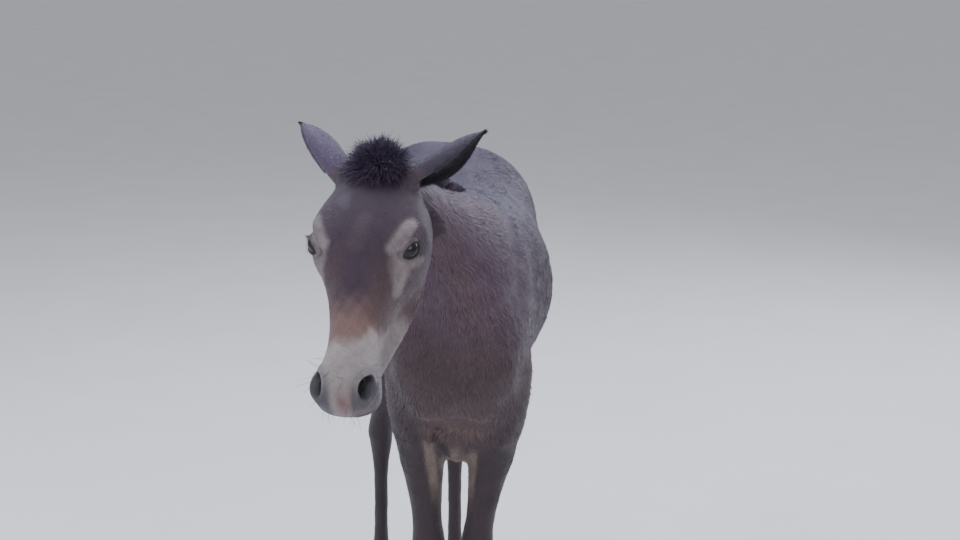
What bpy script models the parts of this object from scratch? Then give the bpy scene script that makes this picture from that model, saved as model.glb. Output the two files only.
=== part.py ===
"""A mule foal standing still, life size, in metres. It faces -Y and its left side is +X."""

import math

import bmesh
import bpy
import numpy as np
from mathutils import Matrix, Vector

# The gap between two neighbouring nodes, and how finely the flesh is drawn.
gap = 0.0003
flesh = {"voxel": 0.0042, "smoothing": 4, "body_smoothing": 14, "breast_smoothing": 38, "body_triangles": 3800, "head_triangles": 2300}

# Sections of the trunk from chest to buttock:
# distance back, top, bottom, half width, height of the widest place.
trunk = (
    (-0.450, 0.905, 0.790, 0.050, 0.846),
    (-0.436, 0.955, 0.752, 0.090, 0.842),
    (-0.402, 1.000, 0.722, 0.115, 0.830),
    (-0.345, 1.046, 0.694, 0.130, 0.830),
    (-0.275, 1.086, 0.678, 0.137, 0.840),
    (-0.200, 1.102, 0.682, 0.141, 0.850),
    (-0.110, 1.092, 0.689, 0.154, 0.850),
    (-0.020, 1.080, 0.695, 0.169, 0.855),
    (0.060, 1.078, 0.706, 0.180, 0.862),
    (0.130, 1.090, 0.724, 0.176, 0.880),
    (0.200, 1.108, 0.756, 0.172, 0.920),
    (0.260, 1.122, 0.784, 0.170, 0.950),
    (0.330, 1.109, 0.806, 0.160, 0.960),
    (0.390, 1.068, 0.826, 0.128, 0.950),
    (0.430, 1.015, 0.850, 0.095, 0.935),
    (0.450, 0.970, 0.885, 0.058, 0.930),
)

# The pelvis is tipped, its right side up, as over a rested hind leg: by how much and how far it moves.
pelvis = {"roll": 0.105, "moved": -0.032, "level": 0.950}

# The neck from shoulder to poll: a place on the crest, the place under it, half width.
neck_line = (
    (0.000, -0.120, 1.088, 0.000, -0.430, 0.770, 0.116),
    (0.000, -0.200, 1.100, 0.000, -0.448, 0.840, 0.108),
    (-0.008, -0.270, 1.108, -0.012, -0.458, 0.890, 0.094),
    (-0.026, -0.340, 1.124, -0.030, -0.466, 0.930, 0.080),
    (-0.050, -0.410, 1.148, -0.050, -0.474, 0.963, 0.069),
    (-0.074, -0.480, 1.178, -0.071, -0.486, 0.998, 0.062),
    (-0.094, -0.535, 1.202, -0.086, -0.502, 1.038, 0.058),
    (-0.104, -0.578, 1.204, -0.094, -0.535, 1.072, 0.052),
)

# The head hangs from the poll; it is turned to its own right and tipped down.
poll = np.array((-0.100, -0.577, 1.176))
head_turn = math.radians(11.1)
head_dip = math.radians(53.0)

# Sections of the head from poll to lips:
# distance, forehead side, jaw side, half width, level of the widest place.
skull = (
    (-0.041, 0.018, 0.040, 0.030, -0.010),
    (-0.018, 0.044, 0.070, 0.050, -0.005),
    (0.018, 0.064, 0.090, 0.066, 0.006),
    (0.055, 0.078, 0.106, 0.081, 0.014),
    (0.092, 0.086, 0.113, 0.095, 0.022),
    (0.129, 0.086, 0.112, 0.101, 0.030),
    (0.161, 0.080, 0.107, 0.092, 0.024),
    (0.193, 0.070, 0.099, 0.071, 0.008),
    (0.230, 0.060, 0.090, 0.055, -0.006),
    (0.278, 0.051, 0.078, 0.045, -0.014),
    (0.318, 0.045, 0.067, 0.044, -0.016),
    (0.350, 0.040, 0.060, 0.051, -0.017),
    (0.377, 0.032, 0.054, 0.055, -0.019),
    (0.395, 0.020, 0.046, 0.046, -0.019),
    (0.405, 0.006, 0.036, 0.028, -0.019),
)

# The eyes: where each lies, its radius, the lid over it, and half the opening's width and height.
eye = {"along": 0.143, "up": 0.0445, "side": 0.0720, "radius": 0.0195, "lid": 0.0038}
eye_opening = (0.0174, 0.0105)
# The nostrils: where each lies, and half its length, width and depth.
nostril = {"along": 0.374, "up": 0.015, "side": 0.044, "size": (0.0212, 0.0128, 0.0150)}
ear = {"long": 0.178, "wide": 0.0288, "wall": 0.0042, "depth": 0.78}
ear_root = (0.012, 0.032, 0.062)
# How far each ear points outward, backward and upward.
ear_lines = {"left": (0.57, 0.70, 0.40), "right": (0.69, 0.60, 0.51)}
# How far the back of each ear faces forward, against upward.
ear_tilts = {"left": -1.30, "right": -0.35}
# How far the middle of each ear bows out on its back side.
ear_arches = {"left": -0.010, "right": 0.006}

# The legs from the body down: height, across, distance back, half width, half depth.
foreleg = (
    (0.860, 0.086, -0.290, 0.046, 0.080),
    (0.780, 0.092, -0.285, 0.051, 0.080),
    (0.710, 0.0760, -0.285, 0.0600, 0.080),
    (0.655, 0.0685, -0.275, 0.0590, 0.068),
    (0.590, 0.0635, -0.268, 0.0470, 0.052),
    (0.530, 0.0570, -0.268, 0.0360, 0.041),
    (0.475, 0.051, -0.271, 0.0315, 0.035),
    (0.440, 0.048, -0.274, 0.034, 0.035),
    (0.412, 0.047, -0.274, 0.0355, 0.036),
    (0.385, 0.046, -0.270, 0.032, 0.033),
    (0.350, 0.046, -0.267, 0.022, 0.0265),
    (0.290, 0.046, -0.267, 0.0190, 0.0245),
    (0.215, 0.046, -0.267, 0.0185, 0.0245),
    (0.180, 0.046, -0.266, 0.0215, 0.0280),
    (0.152, 0.046, -0.265, 0.0270, 0.0310),
    (0.126, 0.046, -0.271, 0.0245, 0.0280),
    (0.100, 0.046, -0.286, 0.0220, 0.0245),
    (0.076, 0.046, -0.300, 0.0245, 0.0270),
    (0.052, 0.046, -0.312, 0.0290, 0.0330),
    (0.030, 0.046, -0.320, 0.0290, 0.0340),
)
hindleg = (
    (0.980, 0.080, 0.270, 0.050, 0.100),
    (0.900, 0.090, 0.275, 0.066, 0.134),
    (0.820, 0.094, 0.268, 0.069, 0.140),
    (0.750, 0.093, 0.255, 0.064, 0.124),
    (0.690, 0.090, 0.256, 0.053, 0.098),
    (0.630, 0.086, 0.276, 0.043, 0.072),
    (0.570, 0.082, 0.308, 0.035, 0.054),
    (0.520, 0.079, 0.340, 0.029, 0.045),
    (0.485, 0.077, 0.360, 0.0295, 0.045),
    (0.450, 0.076, 0.368, 0.0310, 0.043),
    (0.415, 0.075, 0.369, 0.0280, 0.037),
    (0.370, 0.075, 0.365, 0.0215, 0.028),
    (0.300, 0.075, 0.358, 0.0190, 0.0255),
    (0.215, 0.075, 0.350, 0.0190, 0.0255),
    (0.180, 0.075, 0.347, 0.0220, 0.0290),
    (0.155, 0.075, 0.345, 0.0270, 0.0315),
    (0.128, 0.075, 0.337, 0.0245, 0.0280),
    (0.102, 0.075, 0.323, 0.0220, 0.0245),
    (0.078, 0.075, 0.310, 0.0245, 0.0270),
    (0.052, 0.075, 0.298, 0.0285, 0.0320),
    (0.030, 0.075, 0.290, 0.0285, 0.0330),
)

# The wall of a hoof: height, half width, reach of toe and heel, how far the ring lies back.
hoof_rings = (
    (0.0, 0.0345, 0.044, 0.036, -0.013),
    (0.0035, 0.0355, 0.045, 0.037, -0.0125),
    (0.075, 0.0270, 0.031, 0.033, 0.005),
)

# Each leg: its side, its rows, the heights between which it leans sideways, and by how much.
stance = {
    "foreleg_left": (1, foreleg, (0.70, 0.44), -0.014),
    "foreleg_right": (-1, foreleg, (0.80, 0.44), -0.012),
    "hindleg_left": (1, hindleg, (0.92, 0.46), -0.130),
    "hindleg_right": (-1, hindleg, (0.92, 0.46), -0.148),
}

# The dock of the tail: centre and half thickness.
tail_line = (
    (0.000, 0.375, 1.012, 0.044),
    (0.000, 0.425, 0.998, 0.034),
    (0.000, 0.464, 0.968, 0.027),
    (0.000, 0.490, 0.928, 0.025),
    (0.000, 0.502, 0.870, 0.026),
    (0.000, 0.504, 0.800, 0.027),
    (0.000, 0.502, 0.730, 0.022),
    (0.000, 0.498, 0.668, 0.008),
)

# Hair: how many locks, their length, width and thickness, and how far a core fills the hair.
mane = {"steps": 36, "long": 0.040, "wide": 0.036, "thick": 0.0085, "core": 0.022, "lean": 0.27}
tuft = {"locks": 26, "long": 0.036, "wide": 0.020, "thick": 0.0080, "core": (0.026, 0.030, 0.034)}
tail = {"rings": 7, "around": 4, "long": 0.115, "wide": 0.040, "thick": 0.009, "core": 0.62}
luck = np.random.default_rng(23)

colours = {
    "coat": (0.086, 0.060, 0.066),
    "coat_legs": (0.058, 0.042, 0.045),
    "ear": (0.105, 0.085, 0.105),
    "hair": (0.018, 0.014, 0.018),
    "eye": (0.010, 0.007, 0.006),
    "hoof": (0.050, 0.042, 0.040),
}

for old in list(bpy.data.objects):
    bpy.data.objects.remove(old, do_unlink=True)

foal = bpy.data.collections.new("mule_foal")
helpers = bpy.data.collections.new("helpers")
helpers.hide_render = True
for each in (foal, helpers):
    bpy.context.scene.collection.children.link(each)

forward = np.array((-math.sin(head_turn), -math.cos(head_turn), 0.0))
upward = np.array((0.0, 0.0, 1.0))
nose_way = math.cos(head_dip) * forward - math.sin(head_dip) * upward
brow_way = math.sin(head_dip) * forward + math.cos(head_dip) * upward
left_way = np.array((math.cos(head_turn), -math.sin(head_turn), 0.0))


def unit(vector):
    vector = np.asarray(vector, float)
    return vector / np.linalg.norm(vector)


def on_head(along, up, side):
    """A place on the head, from its distance down the face, its height over the axis and its side."""
    return poll + along * nose_way + up * brow_way + side * left_way


def helper(name, points, faces):
    """A closed mesh kept out of the render, with its faces turned outward."""
    mesh = bpy.data.meshes.new(name)
    mesh.from_pydata([tuple(map(float, p)) for p in points], [], [tuple(map(int, f)) for f in faces])
    shape = bmesh.new()
    shape.from_mesh(mesh)
    bmesh.ops.recalc_face_normals(shape, faces=shape.faces)
    shape.to_mesh(mesh)
    shape.free()
    made = bpy.data.objects.new(name, mesh)
    helpers.objects.link(made)
    made.display_type = "WIRE"
    made.hide_render = True
    return made


def curve_rows(rows, count):
    """A smooth curve through the rows, as `count` rows evenly spaced along it."""
    rows = np.array(rows, float)
    steps = np.arange(len(rows), dtype=float)
    slopes = np.gradient(rows, axis=0)
    places = np.linspace(0.0, steps[-1], count)
    before = np.clip(places.astype(int), 0, len(rows) - 2)
    part = (places - before)[:, None]
    start = rows[before] * (2 * part**3 - 3 * part**2 + 1) + slopes[before] * (part**3 - 2 * part**2 + part)
    end = rows[before + 1] * (3 * part**2 - 2 * part**3) + slopes[before + 1] * (part**3 - part**2)
    return start + end


def oval(centre, across, rise, half_wide, above, below, count=28, fullness=2.2):
    """One section: points round a centre, with separate heights above and below it."""
    turn = np.linspace(0.0, 2 * math.pi, count, endpoint=False)
    cos, sin = np.cos(turn), np.sin(turn)
    wide = half_wide * np.sign(cos) * np.abs(cos) ** (2 / fullness)
    high = np.where(sin > 0, above, below) * np.sign(sin) * np.abs(sin) ** (2 / fullness)
    return np.asarray(centre) + wide[:, None] * np.asarray(across) + high[:, None] * np.asarray(rise)


def skinned(name, rings):
    """A closed form through the sections, with a fan over each end."""
    count = len(rings[0])
    points = np.concatenate([*rings, [rings[0].mean(axis=0)], [rings[-1].mean(axis=0)]])
    faces = []
    for ring in range(len(rings) - 1):
        for side in range(count):
            near, far = ring * count, (ring + 1) * count
            beside = (side + 1) % count
            faces.append((near + side, near + beside, far + beside, far + side))
    first, last = len(points) - 2, len(points) - 1
    top = (len(rings) - 1) * count
    for side in range(count):
        beside = (side + 1) % count
        faces.append((first, beside, side))
        faces.append((last, top + side, top + beside))
    return helper(name, points, faces)


def ball(name, centre, radii, axes=None, segments=20, rings=12):
    """An ellipsoid with its three half sizes along the given axes."""
    shape = bmesh.new()
    bmesh.ops.create_uvsphere(shape, u_segments=segments, v_segments=rings, radius=1.0)
    axes = np.identity(3) if axes is None else np.array([unit(axis) for axis in axes])
    frame = Matrix((axes.T * np.array(radii)).tolist()).to_4x4()
    frame.translation = Vector(tuple(map(float, centre)))
    bmesh.ops.transform(shape, matrix=frame, verts=shape.verts)
    bmesh.ops.recalc_face_normals(shape, faces=shape.faces)
    mesh = bpy.data.meshes.new(name)
    shape.to_mesh(mesh)
    shape.free()
    made = bpy.data.objects.new(name, mesh)
    helpers.objects.link(made)
    made.display_type = "WIRE"
    made.hide_render = True
    return made


def cord(name, ends, radii, count=12):
    """A rounded bar between places, thick as the radii say."""
    ends = np.array(ends, float)
    rows = curve_rows(np.column_stack([ends, radii]), 5 * len(ends))
    rings = []
    for index, row in enumerate(rows):
        ahead = rows[min(index + 1, len(rows) - 1), :3] - rows[max(index - 1, 0), :3]
        across = unit(np.cross(ahead, (0.3, 0.2, 0.93)))
        rings.append(oval(row[:3], across, unit(np.cross(across, ahead)), row[3], row[3], row[3], count, 2.0))
    return skinned(name, rings)


def block(name, centre, size, ahead, aside):
    """A box whose first size lies along `ahead` and whose second lies along `aside`."""
    ahead = unit(ahead)
    aside = unit(np.asarray(aside) - np.dot(aside, ahead) * ahead)
    third = np.cross(ahead, aside)
    corners = [
        np.asarray(centre) + a * size[0] / 2 * ahead + b * size[1] / 2 * aside + c * size[2] / 2 * third
        for a in (-1, 1) for b in (-1, 1) for c in (-1, 1)
    ]
    faces = ((0, 1, 3, 2), (4, 6, 7, 5), (0, 4, 5, 1), (2, 3, 7, 6), (0, 2, 6, 4), (1, 5, 7, 3))
    return helper(name, corners, faces)


def joined(name, pieces):
    """The pieces as one object, each still its own closed surface."""
    whole = bmesh.new()
    for piece in pieces:
        whole.from_mesh(piece.data)
        bpy.data.objects.remove(piece, do_unlink=True)
    mesh = bpy.data.meshes.new(name)
    whole.to_mesh(mesh)
    whole.free()
    made = bpy.data.objects.new(name, mesh)
    helpers.objects.link(made)
    made.display_type = "WIRE"
    made.hide_render = True
    return made


def settle(target):
    """The modifiers made part of the mesh."""
    bpy.context.view_layer.update()
    solid = bpy.data.meshes.new_from_object(target.evaluated_get(bpy.context.evaluated_depsgraph_get()))
    target.modifiers.clear()
    target.data = solid


def cut(target, cutter, operation="DIFFERENCE", solver="MANIFOLD"):
    """One Boolean, made part of the mesh; the cutter is then gone."""
    change = target.modifiers.new("cut", "BOOLEAN")
    change.operation = operation
    change.solver = solver
    change.object = cutter
    settle(target)
    bpy.data.objects.remove(cutter, do_unlink=True)


def thin_out(target, triangles, group=None):
    """Fewer triangles, down to the number asked for."""
    change = target.modifiers.new("thin", "DECIMATE")
    change.use_collapse_triangulate = True
    now = sum(len(face.vertices) - 2 for face in target.data.polygons)
    change.ratio = min(1.0, triangles / now)
    if group:
        change.vertex_group = group
        change.vertex_group_factor = 1.0
    settle(target)


def loose_pieces(target, least=40):
    """The separate closed surfaces of a mesh, as lists of faces and the middle of each."""
    shape = bmesh.new()
    shape.from_mesh(target.data)
    shape.faces.ensure_lookup_table()
    unseen = set(range(len(shape.faces)))
    pieces = []
    while unseen:
        queue = [shape.faces[unseen.pop()]]
        found = [queue[0].index]
        while queue:
            for edge in queue.pop().edges:
                for face in edge.link_faces:
                    if face.index in unseen:
                        unseen.discard(face.index)
                        found.append(face.index)
                        queue.append(face)
        if len(found) >= least:
            pieces.append(found)
    shape.free()
    return pieces


def piece_of(source, name, faces):
    """A new helper with only these faces of the source."""
    points, order = [], {}
    rows = []
    for index in faces:
        row = []
        for vertex in source.data.polygons[index].vertices:
            if vertex not in order:
                order[vertex] = len(points)
                points.append(tuple(source.data.vertices[vertex].co))
            row.append(order[vertex])
        rows.append(row)
    return helper(name, points, rows)


def largest_only(target):
    """Keeps the largest closed surface of a node."""
    pieces = loose_pieces(target, 1)
    if len(pieces) > 1:
        keep = piece_of(target, "keep", max(pieces, key=len))
        target.data = keep.data
        bpy.data.objects.remove(keep, do_unlink=True)


def lock(home, root, way, fall, face, long, wide, thick, sink=0.009,
         widths=((0.0, 0.85), (0.42, 1.0), (0.80, 0.58))):
    """A flat tapered lock: it starts under the skin, bends toward `fall` and ends in a point."""
    way, face = unit(way), unit(face)
    face = unit(face - np.dot(face, way) * way)
    normal = np.cross(way, face)
    points = []
    for share, width in widths:
        centre = root - way * sink + (way * share + np.asarray(fall) * share**2) * (long + sink)
        aside = face * wide * width / 2
        deep = normal * thick * (1 - 0.55 * share) / 2
        points += [centre - aside - deep, centre + aside - deep, centre + aside + deep, centre - aside + deep]
    points.append(root - way * sink + (way + np.asarray(fall)) * (long + sink))
    faces = [(3, 2, 1, 0)]
    for ring in range(len(widths) - 1):
        for corner in range(4):
            beside = (corner + 1) % 4
            faces.append((ring * 4 + corner, ring * 4 + beside, ring * 4 + 4 + beside, ring * 4 + 4 + corner))
    last = len(points) - 1
    faces += [(last - 4 + corner, last - 4 + (corner + 1) % 4, last) for corner in range(4)]
    made = helper("lock", points, faces)
    helpers.objects.unlink(made)
    home.objects.link(made)


def grow(target, home):
    """The locks of a collection fused with their node by one union; the collection's objects are then gone."""
    change = target.modifiers.new("locks", "BOOLEAN")
    change.operation = "UNION"
    change.solver = "MANIFOLD"
    change.operand_type = "COLLECTION"
    change.collection = home
    settle(target)
    for made in list(home.objects):
        bpy.data.objects.remove(made, do_unlink=True)
    bpy.data.collections.remove(home)


def hair_home(name):
    """An empty collection for locks, out of the render."""
    home = bpy.data.collections.new(name)
    home.hide_render = True
    helpers.children.link(home)
    return home


def ease(values, low, high):
    """0 below low, 1 above high and a smooth S between."""
    share = np.clip((np.asarray(values, float) - low) / (high - low), 0.0, 1.0)
    return share * share * (3.0 - 2.0 * share)


def sway(points):
    """The places of the hindquarters, tipped toward the foal's right as the pelvis is."""
    x, y, z = np.asarray(points, float).T
    share = ease(y, -0.05, 0.25) * np.maximum(ease(z, 0.45, 0.85), ease(y, 0.40, 0.47))
    lift = np.clip(z - pelvis["level"], -0.10, 0.20)
    moved = x + share * (pelvis["moved"] - pelvis["roll"] * lift)
    raised = z - share * pelvis["roll"] * x * ease(z, 0.78, 0.95)
    return np.stack([moved, y, raised], -1)


def middle(target):
    corners = np.array([tuple(corner) for corner in target.bound_box])
    return (corners.min(axis=0) + corners.max(axis=0)) / 2


# The flesh: overlapping forms, drawn together into one skin.
forms = []
rings = []
for back, top, bottom, half_wide, wide_at in curve_rows(trunk, 70):
    rings.append(oval((0, back, wide_at), (1, 0, 0), (0, 0, 1), half_wide, top - wide_at,
                      wide_at - bottom, 36, 2.1 + 0.5 * ease(back, 0.08, 0.20)))
forms.append(skinned("trunk", rings))

rings = []
for row in curve_rows(neck_line, 40):
    crest, under = row[:3], row[3:6]
    half_deep = np.linalg.norm(crest - under) / 2
    across = unit(np.cross((-0.2, -0.9, 0.3), crest - under))
    rings.append(oval((crest + under) / 2, across, unit(crest - under), row[6], half_deep, half_deep, 32, 2.0))
forms.append(skinned("neck_form", rings))

rings = []
for along, above, below, half_wide, level in curve_rows(skull, 60):
    rings.append(oval(on_head(along, level, 0), left_way, brow_way, half_wide, above - level,
                      below + level, 32, 2.35))
forms.append(skinned("skull_form", rings))

head_axes = (nose_way, brow_way, left_way)
for side in (-1, 1):
    forms.append(ball("brow", on_head(0.127, 0.052, 0.066 * side), (0.033, 0.026, 0.028), head_axes))
    forms.append(ball("cheek", on_head(0.100, -0.034, 0.054 * side), (0.080, 0.064, 0.034), head_axes))
    forms.append(ball("nostril_wing", on_head(0.368, 0.002, 0.037 * side), (0.026, 0.025, 0.018), head_axes))
    forms.append(ball("ear_root", on_head(0.018, 0.036, 0.053 * side), (0.036, 0.028, 0.020), head_axes))
    forms.append(cord("crest_of_face",
                      (on_head(0.152, 0.000, 0.077 * side), on_head(0.207, -0.006, 0.053 * side),
                       on_head(0.262, -0.010, 0.037 * side)), (0.016, 0.013, 0.008)))
    forms.append(cord("jaw",
                      (on_head(0.069, -0.078, 0.047 * side), on_head(0.166, -0.076, 0.047 * side),
                       on_head(0.262, -0.058, 0.037 * side), on_head(0.338, -0.042, 0.026 * side)),
                      (0.031, 0.028, 0.022, 0.014)))
    eye_ball = on_head(eye["along"], eye["up"], eye["side"] * side)
    forms.append(ball("lids", eye_ball, [eye["radius"] + eye["lid"]] * 3))
forms.append(ball("upper_lip", on_head(0.388, -0.014, 0), (0.022, 0.027, 0.038), head_axes))
forms.append(ball("chin", on_head(0.368, -0.047, 0), (0.031, 0.019, 0.028), head_axes))

forms.append(ball("between_forelegs", (-0.003, -0.285, 0.674), (0.044, 0.066, 0.084)))
for side in (-1, 1):
    forms.append(ball("shoulder", (0.085 * side, -0.270, 0.880), (0.052, 0.105, 0.190),
                      ((1, 0, 0.12 * side), (0, 1, -0.35), (0, 0.35, 1))))
    forms.append(ball("shoulder_point", (0.072 * side, -0.370, 0.805), (0.048, 0.056, 0.078)))
    forms.append(ball("breast", (0.042 * side, -0.388, 0.778), (0.052, 0.050, 0.082)))
    forms.append(ball("upper_arm", (0.080 * side, -0.296, 0.728), (0.050, 0.084, 0.112)))
    forms.append(ball("haunch", (0.088 * side, 0.292, 0.930), (0.072, 0.135, 0.150)))
    forms.append(ball("hip", (0.090 * side, 0.180, 1.000), (0.050, 0.070, 0.052)))

feet = {}
for name, (side, rows, (lean_from, lean_to), moved) in stance.items():
    rows = np.array(rows)
    share = np.clip((lean_from - rows[:, 0]) / (lean_from - lean_to), 0.0, 1.0)
    rows[:, 1] = side * rows[:, 1] + moved * share
    rows = curve_rows(rows, 110)
    rings = [oval((x, y, z), (1, 0, 0), (0, 1, 0), wide, deep, deep, 26, 2.1) for z, x, y, wide, deep in rows]
    forms.append(skinned(name + "_form", rings))
    feet[name] = rows
    if "hind" in name:
        at = rows[np.abs(rows[:, 0] - 0.505).argmin()]
        forms.append(ball("point_of_hock", (at[1], 0.390, 0.502), (0.017, 0.018, 0.026)))
        at = rows[np.abs(rows[:, 0] - 0.560).argmin()]
        forms.append(cord("heel_cord", ((at[1], 0.335, 0.640), (at[1], 0.362, 0.572), (at[1], 0.389, 0.508)),
                          (0.011, 0.010, 0.013)))
    else:
        at = rows[np.abs(rows[:, 0] - 0.690).argmin()]
        forms.append(ball("elbow", (at[1] + 0.004 * side, -0.215, 0.705), (0.026, 0.028, 0.040)))

rows = curve_rows(tail_line, 40)
rings = []
for index, (x, y, z, thick) in enumerate(rows):
    ahead = rows[min(index + 1, 39), :3] - rows[max(index - 1, 0), :3]
    rise = unit(np.cross((1, 0, 0), ahead))
    thick *= 1.0 - (1.0 - tail["core"]) * float(np.clip((y - 0.450) / 0.045, 0.0, 1.0))
    rings.append(oval((x, y, z), (1, 0, 0), rise, thick * 1.15, thick, thick, 20, 2.0))
forms.append(skinned("tail_form", rings))

# Low cores under the hair of the mane and of the tuft between the ears.
rings = []
rows = curve_rows(neck_line, 40)[6:39]
for index, row in enumerate(rows):
    crest, rise = row[:3], unit(row[:3] - row[3:6])
    across = unit(np.cross((-0.2, -0.9, 0.3), rise))
    tall = mane["core"] * min(1.0, 0.35 + index / 8) * (1.0 - 0.6 * max(0.0, (index - 14) / 18))
    rings.append(oval(crest - rise * 0.010, across, rise, 0.013, tall + 0.010, 0.02, 16, 2.0))
forms.append(skinned("mane_form", rings))
forms.append(ball("tuft_form", on_head(0.000, 0.060, 0), tuft["core"], head_axes))

body = joined("body", forms)
points = np.empty(len(body.data.vertices) * 3)
body.data.vertices.foreach_get("co", points)
body.data.vertices.foreach_set("co", sway(points.reshape(-1, 3)).ravel())
change = body.modifiers.new("skin", "REMESH")
change.mode = "VOXEL"
change.voxel_size = flesh["voxel"]
change = body.modifiers.new("even", "SMOOTH")
change.factor = 0.5
change.iterations = flesh["smoothing"]
settle(body)

# The head keeps finer forms and finer triangles than the rest.
points = np.empty(len(body.data.vertices) * 3)
body.data.vertices.foreach_get("co", points)
along = (points.reshape(-1, 3) - poll) @ nose_way
height = points.reshape(-1, 3)[:, 2]
is_head = (along > -0.03) & (points.reshape(-1, 3)[:, 1] < -0.50) & (height > 0.80)
is_breast = (points.reshape(-1, 3)[:, 1] < -0.21) & (height > 0.60) & (height < 0.88) & ~is_head
for name, chosen in (("of_body", ~is_head), ("of_head", is_head), ("of_breast", is_breast)):
    group = body.vertex_groups.new(name=name)
    group.add([int(index) for index in np.nonzero(chosen)[0]], 1.0, "REPLACE")
change = body.modifiers.new("soften", "SMOOTH")
change.factor = 0.5
change.iterations = flesh["body_smoothing"]
change.vertex_group = "of_body"
change = body.modifiers.new("blend", "SMOOTH")
change.factor = 0.5
change.iterations = flesh["breast_smoothing"]
change.vertex_group = "of_breast"
settle(body)
dense = np.array([is_head[list(face.vertices)].all() for face in body.data.polygons])
thin_out(body, 2 * int(dense.sum()) + flesh["body_triangles"], "of_body")
thin_out(body, flesh["body_triangles"] + flesh["head_triangles"], "of_head")

# The thin cuts that part the skin into nodes, and the trims of the legs at the hooves.
hoof_slope = (0.0, 0.42, 0.91)
cutters = [
    block("cut_poll", on_head(0.015, -0.0292, 0), (gap, 0.24, 0.36), 0.792 * nose_way + 0.610 * brow_way,
          left_way),
    block("cut_neck", (-0.010, -0.320, 0.985), (gap, 0.46, 0.62), (-0.06, -0.78, 0.62), (1, 0, 0)),
    block("cut_tail", sway([(0.0, 0.456, 0.985)])[0], (gap, 0.10, 0.15), (0, 1, 0), (1, 0, 0)),
]
coronets = {}
for name, rows in feet.items():
    fore = "fore" in name
    for height in ((0.568, 0.448) if fore else (0.690, 0.500)):
        at = rows[np.abs(rows[:, 0] - height).argmin()]
        wide, deep = (0.126, 0.30) if height > 0.52 else (0.10, 0.16)
        middle_of_cut = sway([(at[1], at[2], height)])[0]
        cutters.append(block("cut_leg", middle_of_cut, (gap, wide, deep), (0, 0, 1), (1, 0, 0)))
    at = rows[np.abs(rows[:, 0] - 0.052).argmin()]
    coronets[name] = np.array((at[1], at[2], 0.052))
    down = -unit(hoof_slope)
    foot = coronets[name] + down * (0.05 - gap / 2)
    cutters.append(block("trim_foot", foot, (0.10, 0.12, 0.14), hoof_slope, (1, 0, 0)))
cut(body, joined("cuts", cutters))

expected = {
    "head": on_head(0.175, 0.0, 0),
    "neck": (-0.05, -0.44, 1.07),
    "torso": (0.0, 0.0, 0.88),
    "tail": (0.0, 0.47, 0.84),
}
for name, rows in feet.items():
    fore = "fore" in name
    for part, height in (("upper", 0.51 if fore else 0.60), ("lower", 0.26)):
        at = rows[np.abs(rows[:, 0] - height).argmin()]
        expected[name + "_" + part] = (at[1], at[2], height)
nodes = {}
for faces in loose_pieces(body):
    piece = piece_of(body, "piece", faces)
    name = min(expected, key=lambda key: np.linalg.norm(middle(piece) - np.asarray(expected[key])))
    if name in nodes and len(nodes[name].data.polygons) > len(faces):
        bpy.data.objects.remove(piece, do_unlink=True)
        continue
    nodes[name] = piece
bpy.data.objects.remove(body, do_unlink=True)

# The ears: a thin cup wrapped round a bent line, wide in the middle and pointed at the end.
ear_nodes = {}
for name, side in (("left", 1), ("right", -1)):
    root = (ear_root[0], ear_root[1], ear_root[2] * side)
    out, back, up = ear_lines[name]
    line = unit(out * side * left_way - back * forward + up * upward)
    back_way = upward + ear_tilts[name] * forward
    back_way = unit(back_way - np.dot(back_way, line) * line)
    aside = np.cross(line, back_way)
    outer, inner = [], []
    for share in np.linspace(0.0, 1.0, 11):
        bend = back_way * ear_arches[name] * (math.sin(math.pi * share) - 0.5)
        centre = on_head(*root) + line * (ear["long"] * share - 0.020) + bend
        width = ear["wide"] * (0.62 + 1.30 * share - 1.05 * share**2) * (1 - share**4) + 0.0012
        wrap = math.radians(158 - 78 * share)
        turns = np.linspace(-wrap, wrap, 12)
        arc = ear["depth"] * np.cos(turns)[:, None] * back_way + np.sin(turns)[:, None] * aside
        wall = ear["wall"] * (1 - 0.62 * share) * (1 - 0.45 * np.abs(turns / wrap) ** 4)
        outer.append(centre + arc * width)
        inner.append(centre + arc * np.maximum(width - wall, 0.10 * width)[:, None])
    outer, inner = np.array(outer), np.array(inner)
    rows_count, cols = outer.shape[:2]
    points = np.concatenate([outer.reshape(-1, 3), inner.reshape(-1, 3)])
    shift = rows_count * cols
    faces = []
    for row in range(rows_count - 1):
        for col in range(cols - 1):
            a, b = row * cols + col, row * cols + col + 1
            c, d = (row + 1) * cols + col + 1, (row + 1) * cols + col
            faces.append((a, b, c, d))
            faces.append((a + shift, d + shift, c + shift, b + shift))
        a, b = row * cols, (row + 1) * cols
        faces.append((a, b, b + shift, a + shift))
        a, b = row * cols + cols - 1, (row + 1) * cols + cols - 1
        faces.append((a, a + shift, b + shift, b))
    for col in range(cols - 1):
        faces.append((col, col + shift, col + 1 + shift, col + 1))
        a = (rows_count - 1) * cols + col
        faces.append((a, a + 1, a + 1 + shift, a + shift))
    cup = helper("ear_" + name, points, faces)
    ear_nodes[name] = (cup, line, on_head(*root))

for name, (cup, line, root) in ear_nodes.items():
    cut(nodes["head"], cup, "UNION")
for name, (cup, line, root) in ear_nodes.items():
    cut(nodes["head"], block("cut_ear", root + line * 0.036, (gap, 0.076, 0.076), line, brow_way))
parted = nodes["head"]
for faces in loose_pieces(parted, 30):
    piece = piece_of(parted, "piece", faces)
    across = float((middle(piece) - poll) @ left_way)
    name = "head" if len(faces) > 1500 else ("ear_left" if across > 0 else "ear_right")
    nodes[name] = piece
bpy.data.objects.remove(parted, do_unlink=True)
head = nodes["head"]

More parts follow.
